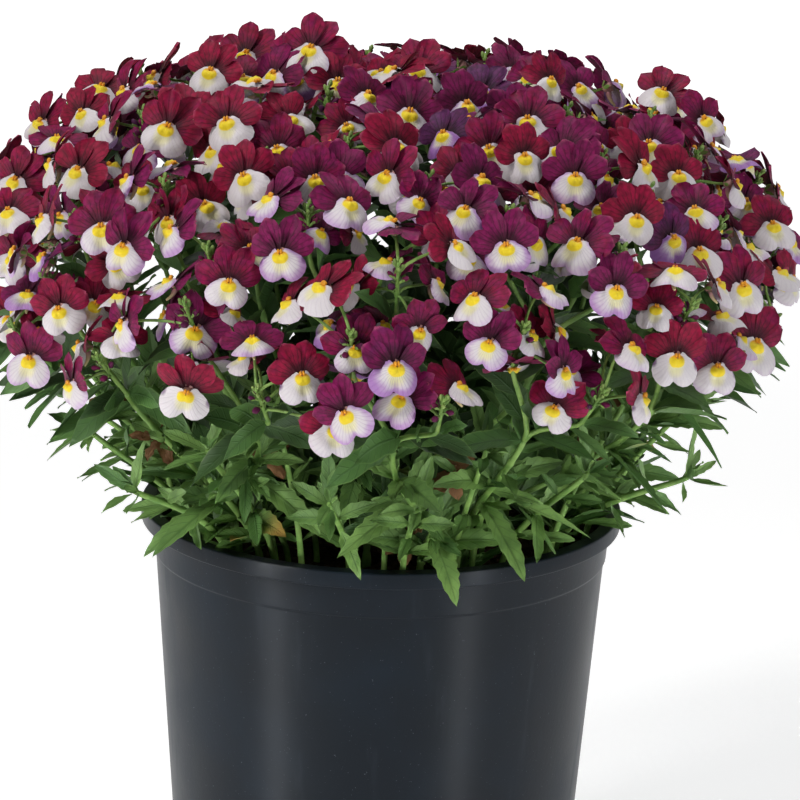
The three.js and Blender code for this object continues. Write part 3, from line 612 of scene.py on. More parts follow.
def place_blooms():
    draw = seeded_draws(60613)
    for i in range(BLOOM_COUNT):
        share = (i + 0.5) / BLOOM_COUNT
        azimuth = i * GOLDEN_ANGLE + between(draw, -0.02, 0.02)
        place, raceme, owner, facing, roll = bloom_start(share, azimuth, draw)
        scale = between(draw, *BLOOM_SIZES)
        if draw() < BLOOM_THINNED_SHARE and share > BLOOM_THINNED_FROM:
            continue
        for tried in range(BLOOM_TRIES):
            bloom = bloom_at(place, facing, roll, raceme, scale, tried / BLOOM_TRIES, draw)
            balls = bloom_balls(bloom)
            if is_clear(owner, balls, 1):
                claim(owner, balls)
                raceme["blooms"].append(bloom)
                break


place_blooms()

# A second layer of blooms, which closes the gaps that the first one leaves in the dome
FILLER_PLACES = 620
FILLER_DEPTH = 7
FILLER_LOWEST_SHARE = 0.93
FILLER_APART = 12.6
FILLER_TRIES = 5
FILLER_SIZES = (0.82, 1)


def place_fillers():
    draw = seeded_draws(1409)
    centres = [bloom["at"] for head in heads for raceme in head["racemes"] for bloom in raceme["blooms"]]
    for i in range(FILLER_PLACES):
        share = (i + 0.5) / FILLER_PLACES * FILLER_LOWEST_SHARE
        place, raceme, _, facing, roll = bloom_start(share, (i + 0.4) * GOLDEN_ANGLE, draw)
        deeper = {**place, "point": place["point"] - place["normal"] * FILLER_DEPTH}
        for tried in range(FILLER_TRIES):
            scale = between(draw, *FILLER_SIZES)
            bloom = bloom_at(deeper, facing, roll, raceme, scale, tried / FILLER_TRIES, draw)
            if np.linalg.norm(np.array(centres) - bloom["at"], axis=1).min() > FILLER_APART:
                centres.append(bloom["at"])
                raceme["fillers"].append(bloom)
                break


place_fillers()

# Leaves: turn about the stem and change of lift in degrees, and size, for each try
LEAF_TRIES = (
    (0, 0, 1), (28, 0, 1), (-28, 0, 1), (0, 22, 1), (0, -20, 1), (50, 10, 0.9), (-50, 10, 0.9),
    (20, 30, 0.8), (-20, 30, 0.8), (75, 0, 0.8), (-75, 0, 0.8), (0, 45, 0.75),
)
# Balls over a leaf: share of its length and radius as a share of its half width
LEAF_BALLS = ((0.3, 0.8), (0.45, 0.9), (0.62, 0.75), (0.8, 0.5), (0.97, 0.3))


def leaf_at(frame, side, angle, lift, length):
    out = aside(frame, (side - 1) * pi / 2 + angle)
    along = out * cos(lift) + frame["along"] * sin(lift)
    face = unit(frame["along"] - along * np.dot(frame["along"], along))
    return {
        "at": frame["at"] + side_normal(frame, side) * STEM_TIP_WIDTH / 2,
        "side": side,
        "along": along,
        "face": face,
        "across": np.cross(face, along),
        "length": length,
    }


def on_leaf(leaf, along, across, height):
    """Points of a leaf, from shares of its length and of its half width and heights over its blade."""
    along, across, height = (np.asarray(value, float)[..., None] for value in (along, across, height))
    half = leaf["length"] * LEAF_WIDTH_SHARE / 2
    return (
        leaf["at"]
        + leaf["along"] * leaf["length"] * along
        - UP * leaf["length"] * leaf.get("droop", LEAF_DROOP) * along * along
        + leaf["across"] * half * across
        + leaf["face"] * (np.abs(half * across) * LEAF_FOLD + height)
    )


def leaf_balls(leaf):
    half = leaf["length"] * LEAF_WIDTH_SHARE / 2
    return [(on_leaf(leaf, along, 0, 0), half * share, False) for along, share in LEAF_BALLS]


def clear_of_soil(balls):
    lowest = SOIL_MOUND + SOIL_ROUGHNESS - SOIL_DROP
    return all(hypot(at[0], at[1]) > RIM_RADIUS or at[2] - r > lowest for at, r, _ in balls)


def place_leaf(owner, frame, side, draw):
    angle = between(draw, -LEAF_TURN, LEAF_TURN)
    lift = radians(between(draw, *LEAF_LIFTS))
    length = LEAF_LENGTH * between(draw, *LEAF_LENGTHS)
    for turn, raised, size in LEAF_TRIES:
        tried = angle + radians(turn), lift + radians(raised), length * size
        leaf = leaf_at(frame, side, *tried)
        balls = leaf_balls(leaf)
        if clear_of_soil(balls) and is_clear(owner, balls, LEAF_NEAR_STALKS):
            claim(owner, balls)
            return leaf
    return None


def place_pair(owner, plan, frames, corner, branch_side, draw):
    first = corner % 2 if branch_side is None else (branch_side + 1) % 4
    for side in (first, (first + 2) % 4):
        leaf = place_leaf(owner, frames[corner], side, draw)
        if leaf:
            plan["leaves"].append({**leaf, "frame": frames[corner]})


def place_all_leaves():
    draw = seeded_draws(2909)
    for i, shoot in enumerate(shoots):
        for corner in SHOOT_LEAF_CORNERS:
            place_pair(f"shoot_{i}", shoot, shoot["axis"], corner, None, draw)
    for i in reversed(range(len(stems))):
        stem = stems[i]
        for corner in stem["ring"]["axis_leaves"]:
            sides = [branch["side"] for branch in stem["branches"] if branch["corner"] == corner]
            place_pair(f"stem_{i}", stem, stem["axis"], corner, sides[0] if sides else None, draw)
        for branch in stem["branches"]:
            for corner in stem["ring"]["side_leaves"]:
                place_pair(f"stem_{i}", branch, branch["frames"], corner, None, draw)


place_all_leaves()

# Mesh building: sheets and tubes of triangles, gathered into one mesh with its materials and values
def grid_faces(rows, columns, closed=False):
    """Triangles of a grid of points in rows, whose last column joins the first where it is closed."""
    faces = []
    for i in range(rows - 1):
        for j in range(columns if closed else columns - 1):
            a, b = i * columns + j, i * columns + (j + 1) % columns
            faces += [(a, b, b + columns), (a, b + columns, a + columns)]
    return np.array(faces)


def share_grid(alongs, acrosses):
    """The shares along and across a sheet of each of its points, row by row."""
    along, across = np.meshgrid(alongs, acrosses, indexing="ij")
    return along.ravel(), across.ravel()


def bell(x, width):
    return np.exp(-((x / width) ** 2))


class Gathered:
    """Sheets that become one mesh. Each has points in millimetres, triangles, a material and values."""

    def __init__(self, value_names):
        self.points = []
        self.faces = []
        self.materials = []
        self.values = {name: [] for name in value_names}
        self.count = 0

    def add(self, points, faces, material, **values):
        self.points.append(points)
        self.faces.append(faces + self.count)
        self.materials.append(np.full(len(faces), material))
        for name, kept in self.values.items():
            kept.append(np.broadcast_to(values.get(name, 0.0), len(points)))
        self.count += len(points)

    def piece(self, name, materials):
        mesh = bpy.data.meshes.new(name)
        points = np.concatenate(self.points) + UP * POT_HEIGHT
        faces = np.concatenate(self.faces)
        mesh.from_pydata(points / 1000, [], faces, shade_flat=False)
        mesh.polygons.foreach_set("material_index", np.concatenate(self.materials))
        for value_name, kept in self.values.items():
            attribute = mesh.attributes.new(value_name, "FLOAT", "POINT")
            attribute.data.foreach_set("value", np.concatenate(kept).astype(np.float32))
        for material in materials:
            mesh.materials.append(material)
        mesh.validate()
        return linked(name, mesh)


def tube(points, radii, sides, squareness=0.0, first_side=FRONT):
    """A tube along points, with its ends drawn in to a point. Its section can be squared."""
    points = np.array([points[0], *points, points[-1]])
    radii = np.array([0.01, *radii, 0.01])
    frames = frames_along(points[1:-1], first_side)
    frames = [frames[0], *frames, frames[-1]]
    angles = np.arange(sides) / sides * 2 * pi
    section = 1 + squareness * np.cos(4 * (angles - pi / 4))
    rings = [
        frame["at"]
        + radius * section[:, None]
        * (np.cos(angles)[:, None] * frame["right"] + np.sin(angles)[:, None] * frame["up"])
        for frame, radius in zip(frames, radii)
    ]
    along = np.repeat(np.linspace(0, 1, len(points)), sides)
    return np.concatenate(rings), grid_faces(len(points), sides, closed=True), along


# Leaves
STEM, LEAF, DRY = range(3)
LEAF_GRID = (22, 7)  # rows and columns of points
SMALL_GRID = (12, 5)
SHADED_GRID = (8, 3)
SHADED_BREADTH = 1.3
ROWS_PER_TOOTH = 3
DRAWN_LENGTH = 0.84  # of a leaf to its solid
DRAWN_DROOP = 0.2
SMALL_LEAF_DROOP = 0.1
TUFT_LEAVES = 3
RIM_INSIDE = RIM_RADIUS - 7
RIM_OUTSIDE = RIM_RADIUS + 1.2
RIM_ABOVE = 0.8
HANGS_FROM = -6
LEAF_FROM_BLOOMS = 9
SHADED_FROM_BLOOMS = 6.5
BLOOM_CENTRES = np.array([
    bloom["at"] for head in heads for raceme in head["racemes"]
    for bloom in [*raceme["blooms"], *raceme["fillers"]]
])


def crosses_pot(points):
    """Whether a leaf would cut through the pot's rim or wall, or lie in the soil."""
    x, y, z = points.T
    radius = np.hypot(x, y)
    in_wall = (radius > RIM_INSIDE) & (radius < RIM_OUTSIDE) & (z < RIM_ABOVE)
    in_soil = (radius <= RIM_INSIDE) & (z < SOIL_MOUND - SOIL_DROP)
    return bool(np.any(in_wall | in_soil))


def hangs_over_rim(leaf):
    """Whether a leaf's tip lies over or outside the rim and well under its top."""
    tip = on_leaf(leaf, 1, 0, 0)
    return hypot(tip[0], tip[1]) > RIM_INSIDE and tip[2] < HANGS_FROM


def near_blooms(leaf, shares, least):
    """Whether a leaf comes near a bloom's middle at one of the shares of its length."""
    points = on_leaf(leaf, shares, 0, 0)
    apart = np.linalg.norm(BLOOM_CENTRES[None] - points[:, None], axis=2)
    return bool(apart.min() < least)


def leaf_sheet(leaf, draw, grid, breadth):
    """A toothed lance-shaped blade with a sunk midrib and a wavy edge."""
    rows, columns = grid
    along, across = share_grid(np.linspace(0, 1, rows), np.linspace(-1, 1, columns))
    outline = np.sin(pi * along**0.84) ** 0.72
    outline = np.maximum(outline, 0.22 * (1 - along))
    teeth = (along * (rows - 1) / ROWS_PER_TOOTH + 0.1) % 1.0
    toothed = np.where((along > 0.15) & (along < 0.93), 0.28 * (teeth - 0.45), 0)
    width = breadth * outline * (0.92 + toothed * np.abs(across) ** 3)
    wave = between(draw, 0.2, 0.7) * np.sin(between(draw, 0, 6.3) + 7 * along) * across
    groove = -0.5 * bell(across, 0.2) * np.sin(pi * along)
    curl = between(draw, -2.5, 2.5) * along**2
    return on_leaf(leaf, along, across * width, wave + groove + curl), along, across


def add_leaf(gathered, leaf, draw, grid=LEAF_GRID, breadth=1.0, material=LEAF, tone=None):
    points, along, across = leaf_sheet(leaf, draw, grid, breadth)
    own_tone = draw()
    if tone is None:
        tone = own_tone
    if not crosses_pot(points):
        gathered.add(points, grid_faces(*grid), material, along=along, across=across, tone=tone)


def small_leaf(frame, side, turn, lift, length):
    return {**leaf_at(frame, side, turn, radians(lift), length), "droop": SMALL_LEAF_DROOP}


def add_tuft(gathered, leaf, draw):
    """Young leaves in the angle between a leaf and its stem."""
    for _ in range(TUFT_LEAVES):
        small = small_leaf(
            leaf["frame"], leaf["side"], between(draw, -0.9, 0.9), between(draw, 25, 70),
            LEAF_LENGTH * between(draw, 0.3, 0.5))
        if not hangs_over_rim(small):
            add_leaf(gathered, small, draw, SMALL_GRID)


# Blooms, in a plane of their own as above, and their materials in a head
PETAL, LIP, GREEN, NUB, SPUR, BRACT = range(6)
UPPER_LOBE = {
    "length": 12.2, "half_width": 4.0, "base": 0.24,
    "foot": (0.8, 0.6, -1.1), "lap": 0.3, "leans": (12, 25), "backward": (-0.05, 0.26),
}
SIDE_LOBE = {
    "length": 10.8, "half_width": 4.3, "base": 0.22,
    "foot": (1.5, -0.2, -0.9), "lap": 0.25, "leans": (56, 82), "backward": (-0.16, 0.14),
}
LOBE_WIDEST = 0.62
LOBE_GRIDS = {"fine": (10, 9), "plain": (8, 7)}  # rows and columns of points
LIP_GRIDS = {"fine": (9, 29), "plain": (7, 23)}
SEPAL_GRID = (5, 3)
SEPALS = 5
BLOOM_FORM_COUNT = 12


def rounded_width(along, lobe):
    """Half the width of a lobe at shares of its length: narrow at the foot, widest past the middle."""
    rise = np.clip(along / LOBE_WIDEST, 0, 1)
    width = lobe["base"] + (1 - lobe["base"]) * np.sin(rise * pi / 2) ** 1.15
    fall = np.clip((along - LOBE_WIDEST) / (1 - LOBE_WIDEST), 0, 1)
    return lobe["half_width"] * width * np.sqrt(1 - np.minimum(fall, 0.995) ** 2.6)


def lobe_sheet(lobe, foot, lean, backward, draw, grid):
    """One upper or side lobe from its foot, leaning from straight up, and bent back towards its tip."""
    rows, columns = LOBE_GRIDS[grid]
    along, across = share_grid(np.linspace(0, 1, rows), np.linspace(-1, 1, columns))
    phase, ruffle, cup = between(draw, 0, 6.3), between(draw, 0.25, 0.6), between(draw, -0.07, 0.13)
    twist = between(draw, -0.38, 0.38)
    length = lobe["length"] * between(draw, 0.93, 1.05)
    x = across * rounded_width(along, lobe)
    y = along * length - 0.05 * x * x * along
    z = -backward * y - 0.018 * y * y * between(draw, 0.2, 1.3) + cup * x * x
    z += twist * x * along + ruffle * along * np.sin(phase + 2.6 * across + 3 * along)
    z -= 0.35 * bell(across, 0.16) * (1 - along)
    cosine, sine = cos(lean), sin(lean)
    points = np.stack([x * cosine + y * sine, y * cosine - x * sine, z], axis=1) + foot
    return points, along


LIP_WIDEST = radians(138)
LIP_OUTLINE = (
    (0, 7.8), (0.14, 9.2), (0.32, 10.4), (0.6, 10.9), (0.88, 10.5), (1.12, 9.4),
    (1.38, 6.9), (1.7, 4), (2.5, 2.4),
)
LIP_SOFTENED = (-0.07, 0, 0.07)


def lip_reach(turn):
    """How far the lip reaches from the throat at a turn from straight down: two lobes with a notch."""
    side = np.abs(turn)
    turns, reaches = zip(*LIP_OUTLINE)
    return np.mean([np.interp(np.abs(side + shift), turns, reaches) for shift in LIP_SOFTENED], axis=0)


def lip_sheet(draw, grid):
    """The lower lip: two yellow humps right under the throat, then two broad wavy lobes with a notch."""
    rows, columns = LIP_GRIDS[grid]
    along, turn = share_grid(np.linspace(0.012, 1, rows), np.linspace(-LIP_WIDEST, LIP_WIDEST, columns))
    phase, ruffle = between(draw, 0, 6.3), between(draw, 0.4, 1.1)
    flare, droop = between(draw, 0.05, 0.42), between(draw, 0.01, 0.05)
    fold, lean = between(draw, 0.2, 1.6), between(draw, -0.12, 0.12)
    reach = lip_reach(turn) * between(draw, 0.9, 1.02)
    x = np.sin(turn) * reach * along
    y = -np.cos(turn) * reach * along - 0.5
    humps = sum(2.3 * np.exp(-((x - side) ** 2 + (y + 1.6) ** 2) / 2.4) for side in (-1.3, 1.3))
    z = 0.2 + flare * np.maximum(0, -y - 1) + humps - droop * x * x + lean * x
    z += 1.2 * bell(y + 6.5, 3.2) * bell(np.abs(x) - 3.6, 2.6)
    z -= 0.9 * bell(x, 1.1) * np.clip((-y - 3) / 5, 0, 1)
    z -= fold * np.clip((along - 0.6) / 0.4, 0, 1) ** 2
    z += ruffle * along**2 * np.sin(phase + 3.6 * turn)
    return np.stack([x, y, z], axis=1), along


def oval(middle, sizes, rows, columns):
    polar, around = share_grid(np.linspace(0.02, pi - 0.02, rows), np.arange(columns))
    around = around * 2 * pi / columns
    points = np.stack([
        np.sin(polar) * np.cos(around), np.sin(polar) * np.sin(around), np.cos(polar)], axis=1)
    return points * sizes + middle, grid_faces(rows, columns, closed=True)


def sepal_sheet(middle, turn, length, spread):
    """A narrow pointed sepal that leans out from the calyx."""
    rows, columns = SEPAL_GRID
    along, across = share_grid(np.linspace(0, 1, rows), np.linspace(-1, 1, columns))
    width = 0.75 * np.sin(np.clip(along * 0.95 + 0.12, 0, 1) * pi) ** 0.7
    out = along * length * spread + 0.9
    rise = along * length * (1 - 0.5 * spread) + 0.25 * np.abs(across) * width
    side = across * width
    return np.stack([
        out * cos(turn) - side * sin(turn),
        out * sin(turn) + side * cos(turn),
        rise,
    ], axis=1) + middle


def bloom_form(seed, grid):
    """One open bloom as sheets: (points, triangles, material, share along the sheet)."""
    draw = seeded_draws(seed)
    for _ in range(3):
        draw()
    sheets = []
    for lobe in (SIDE_LOBE, UPPER_LOBE):
        for side in (-1, 1):
            lean = side * radians(between(draw, *lobe["leans"]))
            x, y, z = lobe["foot"]
            foot = np.array([side * x, y, z - lobe["lap"] * side])
            points, along = lobe_sheet(lobe, foot, lean, between(draw, *lobe["backward"]), draw, grid)
            sheets.append((points, grid_faces(*LOBE_GRIDS[grid]), PETAL, along))
    points, along = lip_sheet(draw, grid)
    sheets.append((points, grid_faces(*LIP_GRIDS[grid]), LIP, along))
    cup_path = [np.array([0, -0.3, z]) for z in (-1.2, -2.0, -3.2, -4.4)]
    points, faces, _ = tube(cup_path, (2.0, 1.9, 1.5, 1.0), 8, first_side=np.array([0.0, 1.0, 0.0]))
    sheets.append((points, faces, SPUR, 0.35))
    bend = [np.array(at) for at in ((0, -1.2, -2.6), (0, -3.0, -3.6), (0, -5.0, -3.6), (0.3, -7.2, -2.6))]
    points, faces, along = tube(curve_points(*bend, 4), (1.15, 1.0, 0.8, 0.6, 0.4), 5)
    sheets.append((points, faces, SPUR, along))
    for side in (-1, 1):
        points, faces = oval(np.array([side * 0.5, 0.5, 1.0]), np.array([0.55, 1.05, 0.8]), 5, 5)
        sheets.append((points, faces, NUB, 0.0))
    for i in range(SEPALS):
        turn = (i + 0.5) / SEPALS * 2 * pi + between(draw, -0.2, 0.2)
        middle = np.array([0, 0, -BLOOM_CALYX_DEPTH + 0.3])
        points = sepal_sheet(middle, turn, between(draw, 3, 4), between(draw, 0.55, 0.9))
        sheets.append((points, grid_faces(*SEPAL_GRID), GREEN, 0.5))
    return sheets


FINE_FORMS, PLAIN_FORMS = (
    [bloom_form(3100 + 17 * i, grid) for i in range(BLOOM_FORM_COUNT)] for grid in ("fine", "plain")
)
HEAD_VALUES = ("flower_x", "flower_y", "along", "across", "age", "tone")


def on_sheet(bloom, points):
    offset = points @ np.stack([bloom["right"], bloom["up"], bloom["facing"]])
    return bloom["at"] + offset * bloom["size"]


def add_bloom(gathered, bloom, form, age, tone):
    for points, faces, material, along in form:
        x, y, _ = points.T
        values = {"flower_x": x, "flower_y": y, "along": along, "age": age, "tone": tone}
        gathered.add(on_sheet(bloom, points), faces, material, **values)


def add_stalk(gathered, points, radii, sides, tone, squareness=0.0):
    placed, faces, along = tube(points, radii, sides, squareness)
    gathered.add(placed, faces, GREEN, along=along, tone=tone)


BUD_LEVELS = (-6, -15)  # along the raceme's axis from its tip, of the highest and of the lowest
BUD_SIZES = np.array([0.85, 0.85, 1.6])
BUDS = 8
GREEN_BUDS = 4
BUD_SEPALS = 3
BUD_CALYX_SIZE = 0.72


def add_buds(gathered, raceme, draw):
    """Unopened buds in their calyces, small and close at the tip and larger below."""
    side = unit(np.cross(raceme["axis"], FRONT))
    for i in range(BUDS):
        share = i / (BUDS - 1)
        level = mixed(*BUD_LEVELS, share**0.8)
        out = turned_about(side, raceme["axis"], i * GOLDEN_ANGLE)
        size = mixed(0.75, 1.25, share) * between(draw, 0.85, 1.15)
        lean = unit(out * mixed(0.35, 1.1, share) + raceme["axis"])
        foot = raceme["tip"] + raceme["axis"] * (level - 2)
        middle = foot + lean * mixed(1.5, 3.6, share)
        add_stalk(gathered, np.array([foot, middle]), (0.4, 0.45), 5, tone=0.6)
        across = unit(np.cross(lean, UP + 0.1 * FRONT))
        calyx = {
            "right": across, "up": np.cross(lean, across), "facing": lean, "at": middle,
            "size": size * BUD_CALYX_SIZE,
        }
        points, faces = oval(np.zeros(3), BUD_SIZES * size, 6, 6)
        bud = {**calyx, "at": middle + lean * 1.2 * size, "size": 1}
        material = GREEN if i < GREEN_BUDS else PETAL
        age = between(draw, 0.4, 1)
        gathered.add(on_sheet(bud, points), faces, material, along=0.4, age=age, tone=0.9)
        for k in range(BUD_SEPALS):
            sepal = sepal_sheet(np.zeros(3), k * pi * 2 / BUD_SEPALS + 0.4, 3.2, 0.25)
            gathered.add(on_sheet(calyx, sepal), grid_faces(*SEPAL_GRID), GREEN, along=0.5, tone=0.5)


OLD_BLOOMS_AT = (10, 118)  # x and z of the middle of the older blooms
OLD_BLOOMS_SPREAD = 40


def bloom_age(bloom, draw):
    """Young blooms are crimson and old ones purple. The old ones lie more in the middle and on top."""
    x, _, z = bloom["at"]
    away = (x - OLD_BLOOMS_AT[0]) ** 2 + (z - OLD_BLOOMS_AT[1]) ** 2
    middle = exp(-away / (2 * OLD_BLOOMS_SPREAD**2))
    return min(1, max(0, 0.55 * draw() ** 1.3 + 0.34 * middle * draw() + 0.3 * (draw() > 0.86)))


def add_stalked_bloom(gathered, bloom, raceme, forms, draw):
    form = forms[int(draw() * len(forms))]
    add_bloom(gathered, bloom, form, bloom_age(bloom, draw), draw())
    back = on_bloom(bloom, 0, 0, -BLOOM_CALYX_DEPTH)
    pull = bloom["root"] + raceme["axis"] * 4
    push = back - bloom["facing"] * 4
    stalk = curve_points(bloom["root"] - raceme["axis"] * 1.5, pull, push, back, 6)
    add_stalk(gathered, stalk, np.linspace(0.58, 0.48, 7), 5, tone=0.5)


BRACTS = 8
BRACT_LENGTHS = (24, 15)  # of the lowest and of the highest on a raceme's stalk
RACEME_RISES = (7, 13, 17, 19.5)  # of the stalk's corners over the raceme's foot


def add_bracts(gathered, path, draw):
    """Leaves up the stalk of a raceme, in the shade of its blooms; most get a tone under 0, which paints
    shade on them by darkening their green.
    """
    frames = frames_along(path, FRONT)
    for k in range(BRACTS):
        share = (k + 0.5) / BRACTS
        frame = frames[int(share * (len(frames) - 4))]
        lift = radians(between(draw, 5, 65))
        length = mixed(*BRACT_LENGTHS, share) * between(draw, 0.85, 1.2)
        leaf = leaf_at(frame, (2 * k + 1) % 4, between(draw, -0.8, 0.8), lift, length)
        if not near_blooms(leaf, (0.5, 0.8, 1), SHADED_FROM_BLOOMS):
            # painted shade: a tone from -1 to 0.3 darkens most bracts
            add_leaf(gathered, leaf, draw, SHADED_GRID, SHADED_BREADTH, BRACT, between(draw, -1, 0.3))


def head_piece(number, materials):
    head = heads[number]
    draw = seeded_draws(880 + 31 * number)
    gathered = Gathered(HEAD_VALUES)
    for raceme in head["racemes"]:
        path = curve_points(
            head["base"], head["base"] + head["axis"] * RACEME_CROWN * 2,
            raceme["foot"] - raceme["axis"] * RACEME_CROWN, raceme["foot"], 7)
        path = np.concatenate([path, [raceme["foot"] + raceme["axis"] * rise for rise in RACEME_RISES]])
        radii = np.interp(np.arange(len(path)), (0, 7, 11), (0.95, 0.8, 0.45))
        add_stalk(gathered, path, radii, 7, tone=0.35, squareness=0.1)
        add_bracts(gathered, path, draw)
        add_buds(gathered, raceme, draw)
        for layer, forms in (("blooms", FINE_FORMS), ("fillers", PLAIN_FORMS)):
            for bloom in raceme[layer]:
                add_stalked_bloom(gathered, bloom, raceme, forms, draw)
    piece = gathered.piece(f"head_{number + 1:02d}_blooms", materials)
    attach(piece, "root")
    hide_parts(f"head_{number + 1:02d}")


# Materials
def linear(hex_colour):
    """A colour written in hex as on a screen, as the linear values that a shader takes."""
    channels = [int(hex_colour[i : i + 2], 16) / 255 for i in (0, 2, 4)]
    return (*[c / 12.92 if c <= 0.04045 else ((c + 0.055) / 1.055) ** 2.4 for c in channels], 1)


class Signal:
    """What a node of a shade gives out. Sums with it make further nodes."""

    def __init__(self, shade, socket):
        self.shade = shade
        self.socket = socket

    def __add__(self, other):
        return self.shade.math("ADD", self, other)

    def __sub__(self, other):
        return self.shade.math("SUBTRACT", self, other)

    def __rsub__(self, other):
        return self.shade.math("SUBTRACT", other, self)

    def __mul__(self, other):
        return self.shade.math("MULTIPLY", self, other)

    def __truediv__(self, other):
        return self.shade.math("DIVIDE", self, other)


class Shade:
    """A material with one shader, and short names for the nodes that feed it."""

    def __init__(self, name, **sockets):
        self.material = bpy.data.materials.new(name)
        self.material.use_nodes = True
        self.nodes = self.material.node_tree.nodes
        self.shine(**sockets)

    def feed(self, node, inputs):
        for name, value in inputs.items():
            if isinstance(value, Signal):
                self.material.node_tree.links.new(value.socket, node.inputs[name])
            else:
                node.inputs[name].default_value = linear(value) if isinstance(value, str) else value

    def node(self, kind, output, inputs, **settings):
        node = self.nodes.new(kind)
        for name, value in settings.items():
            setattr(node, name, value)
        self.feed(node, inputs)
        return Signal(self, node.outputs[output])

    def values(self, *names):
        return [self.node("ShaderNodeAttribute", "Fac", {}, attribute_name=name) for name in names]

    def math(self, operation, a, b=0.0):
        return self.node("ShaderNodeMath", 0, {0: a, 1: b}, operation=operation)

    def ramp(self, value, low, high, to_low=0.0, to_high=1.0):
        """A smooth step of value between low and high."""
        inputs = {"Value": value, "From Min": low, "From Max": high, "To Min": to_low, "To Max": to_high}
        return self.node("ShaderNodeMapRange", 0, inputs, interpolation_type="SMOOTHSTEP")

    def mix(self, share, a, b, blend="MIX"):
        inputs = {"Factor": share, 6: a, 7: b}
        return self.node("ShaderNodeMix", 2, inputs, data_type="RGBA", blend_type=blend)

    def place(self):
        return self.node("ShaderNodeTexCoord", "Object", {})

    def noise(self, scale, detail, place=None):
        inputs = {"Scale": scale, "Detail": detail, "Vector": place or self.place()}
        return self.node("ShaderNodeTexNoise", "Fac", inputs)

    def joined(self, x, y, z):
        return self.node("ShaderNodeCombineXYZ", 0, {"X": x, "Y": y, "Z": z})

    def shine(self, **sockets):
        self.feed(self.nodes["Principled BSDF"], {k.replace("_", " "): v for k, v in sockets.items()})

    def finished(self, base, height, distance, strength):
        """The material, with its base colour and its bump."""
        inputs = {"Height": height, "Distance": distance, "Strength": strength}
        self.shine(Base_Color=base, Normal=self.node("ShaderNodeBump", 0, inputs))
        return self.material


def on_flower(shade):
    """A bloom's values, and a place in it that differs from bloom to bloom."""
    x, y, along, age, tone = shade.values("flower_x", "flower_y", "along", "age", "tone")
    return x, y, along, age, tone, shade.joined(x, y, tone * 40.0)


CRIMSON = "850430"
MAGENTA = "730B49"
DULL_PURPLE = "51204E"
# the dark purple of the veins and the throat, also used as painted shade at the petals' foot
THROAT_PURPLE_AND_SHADE = "1E030C"
PALE_MARGIN = "B85A78"


def petal_material():
    """Velvety upper petals: crimson when young, purple when old, with fine dark veins from the throat,
    and near black towards the throat, partly the petals' own dark throat and partly painted shade.
    """
    shade = Shade("petal", Roughness=0.6, Specular_IOR_Level=0.22, Sheen_Weight=0.04, Sheen_Roughness=0.4)
    x, y, along, age, tone, place = on_flower(shade)
    aged = age + (shade.noise(0.32, 2.0, place) - 0.5) * 0.5
    base = shade.mix(shade.ramp(aged, 0.1, 0.55), CRIMSON, MAGENTA)
    base = shade.mix(shade.ramp(aged, 0.6, 1.0), base, DULL_PURPLE)
    angle = shade.math("ARCTAN2", x, y + 1.5)
    lines = shade.math("SINE", angle * 34.0 + shade.noise(0.5, 2.0, place) * 5.0)
    vein = shade.ramp(lines, 0.45, 1.0) * shade.ramp(along, 1.0, 0.3, 0.25, 0.7)
    base = shade.mix(vein, base, shade.mix(0.75, base, THROAT_PURPLE_AND_SHADE))
    # partly painted shade: the petals darken to near black at their foot, where the throat lies in shade
    base = shade.mix(shade.ramp(along, 0.6, 0.05, 0.0, 0.88), base, THROAT_PURPLE_AND_SHADE)
    base = shade.mix(shade.ramp(along, 0.9, 1.0, 0.0, 0.4), base, PALE_MARGIN)
    lightness = shade.ramp(shade.noise(0.5, 3.0, place), 0.3, 0.72, 0.66, 1.25)
    base = shade.mix(1.0, base, shade.joined(lightness, lightness, lightness), "MULTIPLY")
    return shade.finished(base, vein, 0.0002, 0.5)


WHITE_LIP = "D4CDD0"
CREAM_LIP = "DCD6AA"
LILAC_LIP = "BC92C6"
VIOLET_LIP = "8E5CA2"
BLOTCH = "551C5E"
YELLOW = "ECD01C"
DEEP_YELLOW = "DC9C0A"


def lip_material():
    """The white lip: yellow palate humps, purple blotches at the waist, lilac margins when old."""
    shade = Shade("lip", Roughness=0.5, Specular_IOR_Level=0.3, Sheen_Weight=0.15)
    x, y, along, age, tone, place = on_flower(shade)
    patches = shade.noise(0.35, 2.0, place)
    side = shade.math("ABSOLUTE", x)

    def oval_mask(across, middle_x, down, middle_y, soft_from, soft_to):
        dx = (side - middle_x) / across
        dy = (y - middle_y) / down
        return shade.ramp(dx * dx + dy * dy + patches * 0.35, soft_from, soft_to)

    base = shade.mix(oval_mask(3.2, 0.0, 4.2, -3.2, 1.5, 0.3), WHITE_LIP, CREAM_LIP)
    edge = age * 0.95 + patches * 0.55
    lilac = shade.ramp(along - (1.16 - edge * 0.72), 0.0, 0.4) * shade.ramp(age, 0.05, 0.65, 0.4, 1.0)
    base = shade.mix(lilac, base, shade.mix(shade.ramp(age, 0.35, 0.95), LILAC_LIP, VIOLET_LIP))
    lines = shade.ramp(shade.math("SINE", shade.math("ARCTAN2", x, y) * 40.0), 0.3, 1.0)
    base = shade.mix(lines * shade.ramp(age, 0.1, 0.9, 0.06, 0.3), base, VIOLET_LIP)
    blotch = oval_mask(1.5, 8.0, 2.2, -2.6, 1.3, 0.3) * shade.ramp(tone, 0.3, 0.5)
    base = shade.mix(blotch * 0.85, base, BLOTCH)
    yellow = shade.mix(shade.ramp(y, -1.0, 0.2), YELLOW, DEEP_YELLOW)
    base = shade.mix(oval_mask(2.9, 0.0, 2.2, -1.5, 1.35, 0.95), base, yellow)
    return shade.finished(base, lines + shade.noise(1.4, 2.0, place), 0.00015, 0.4)


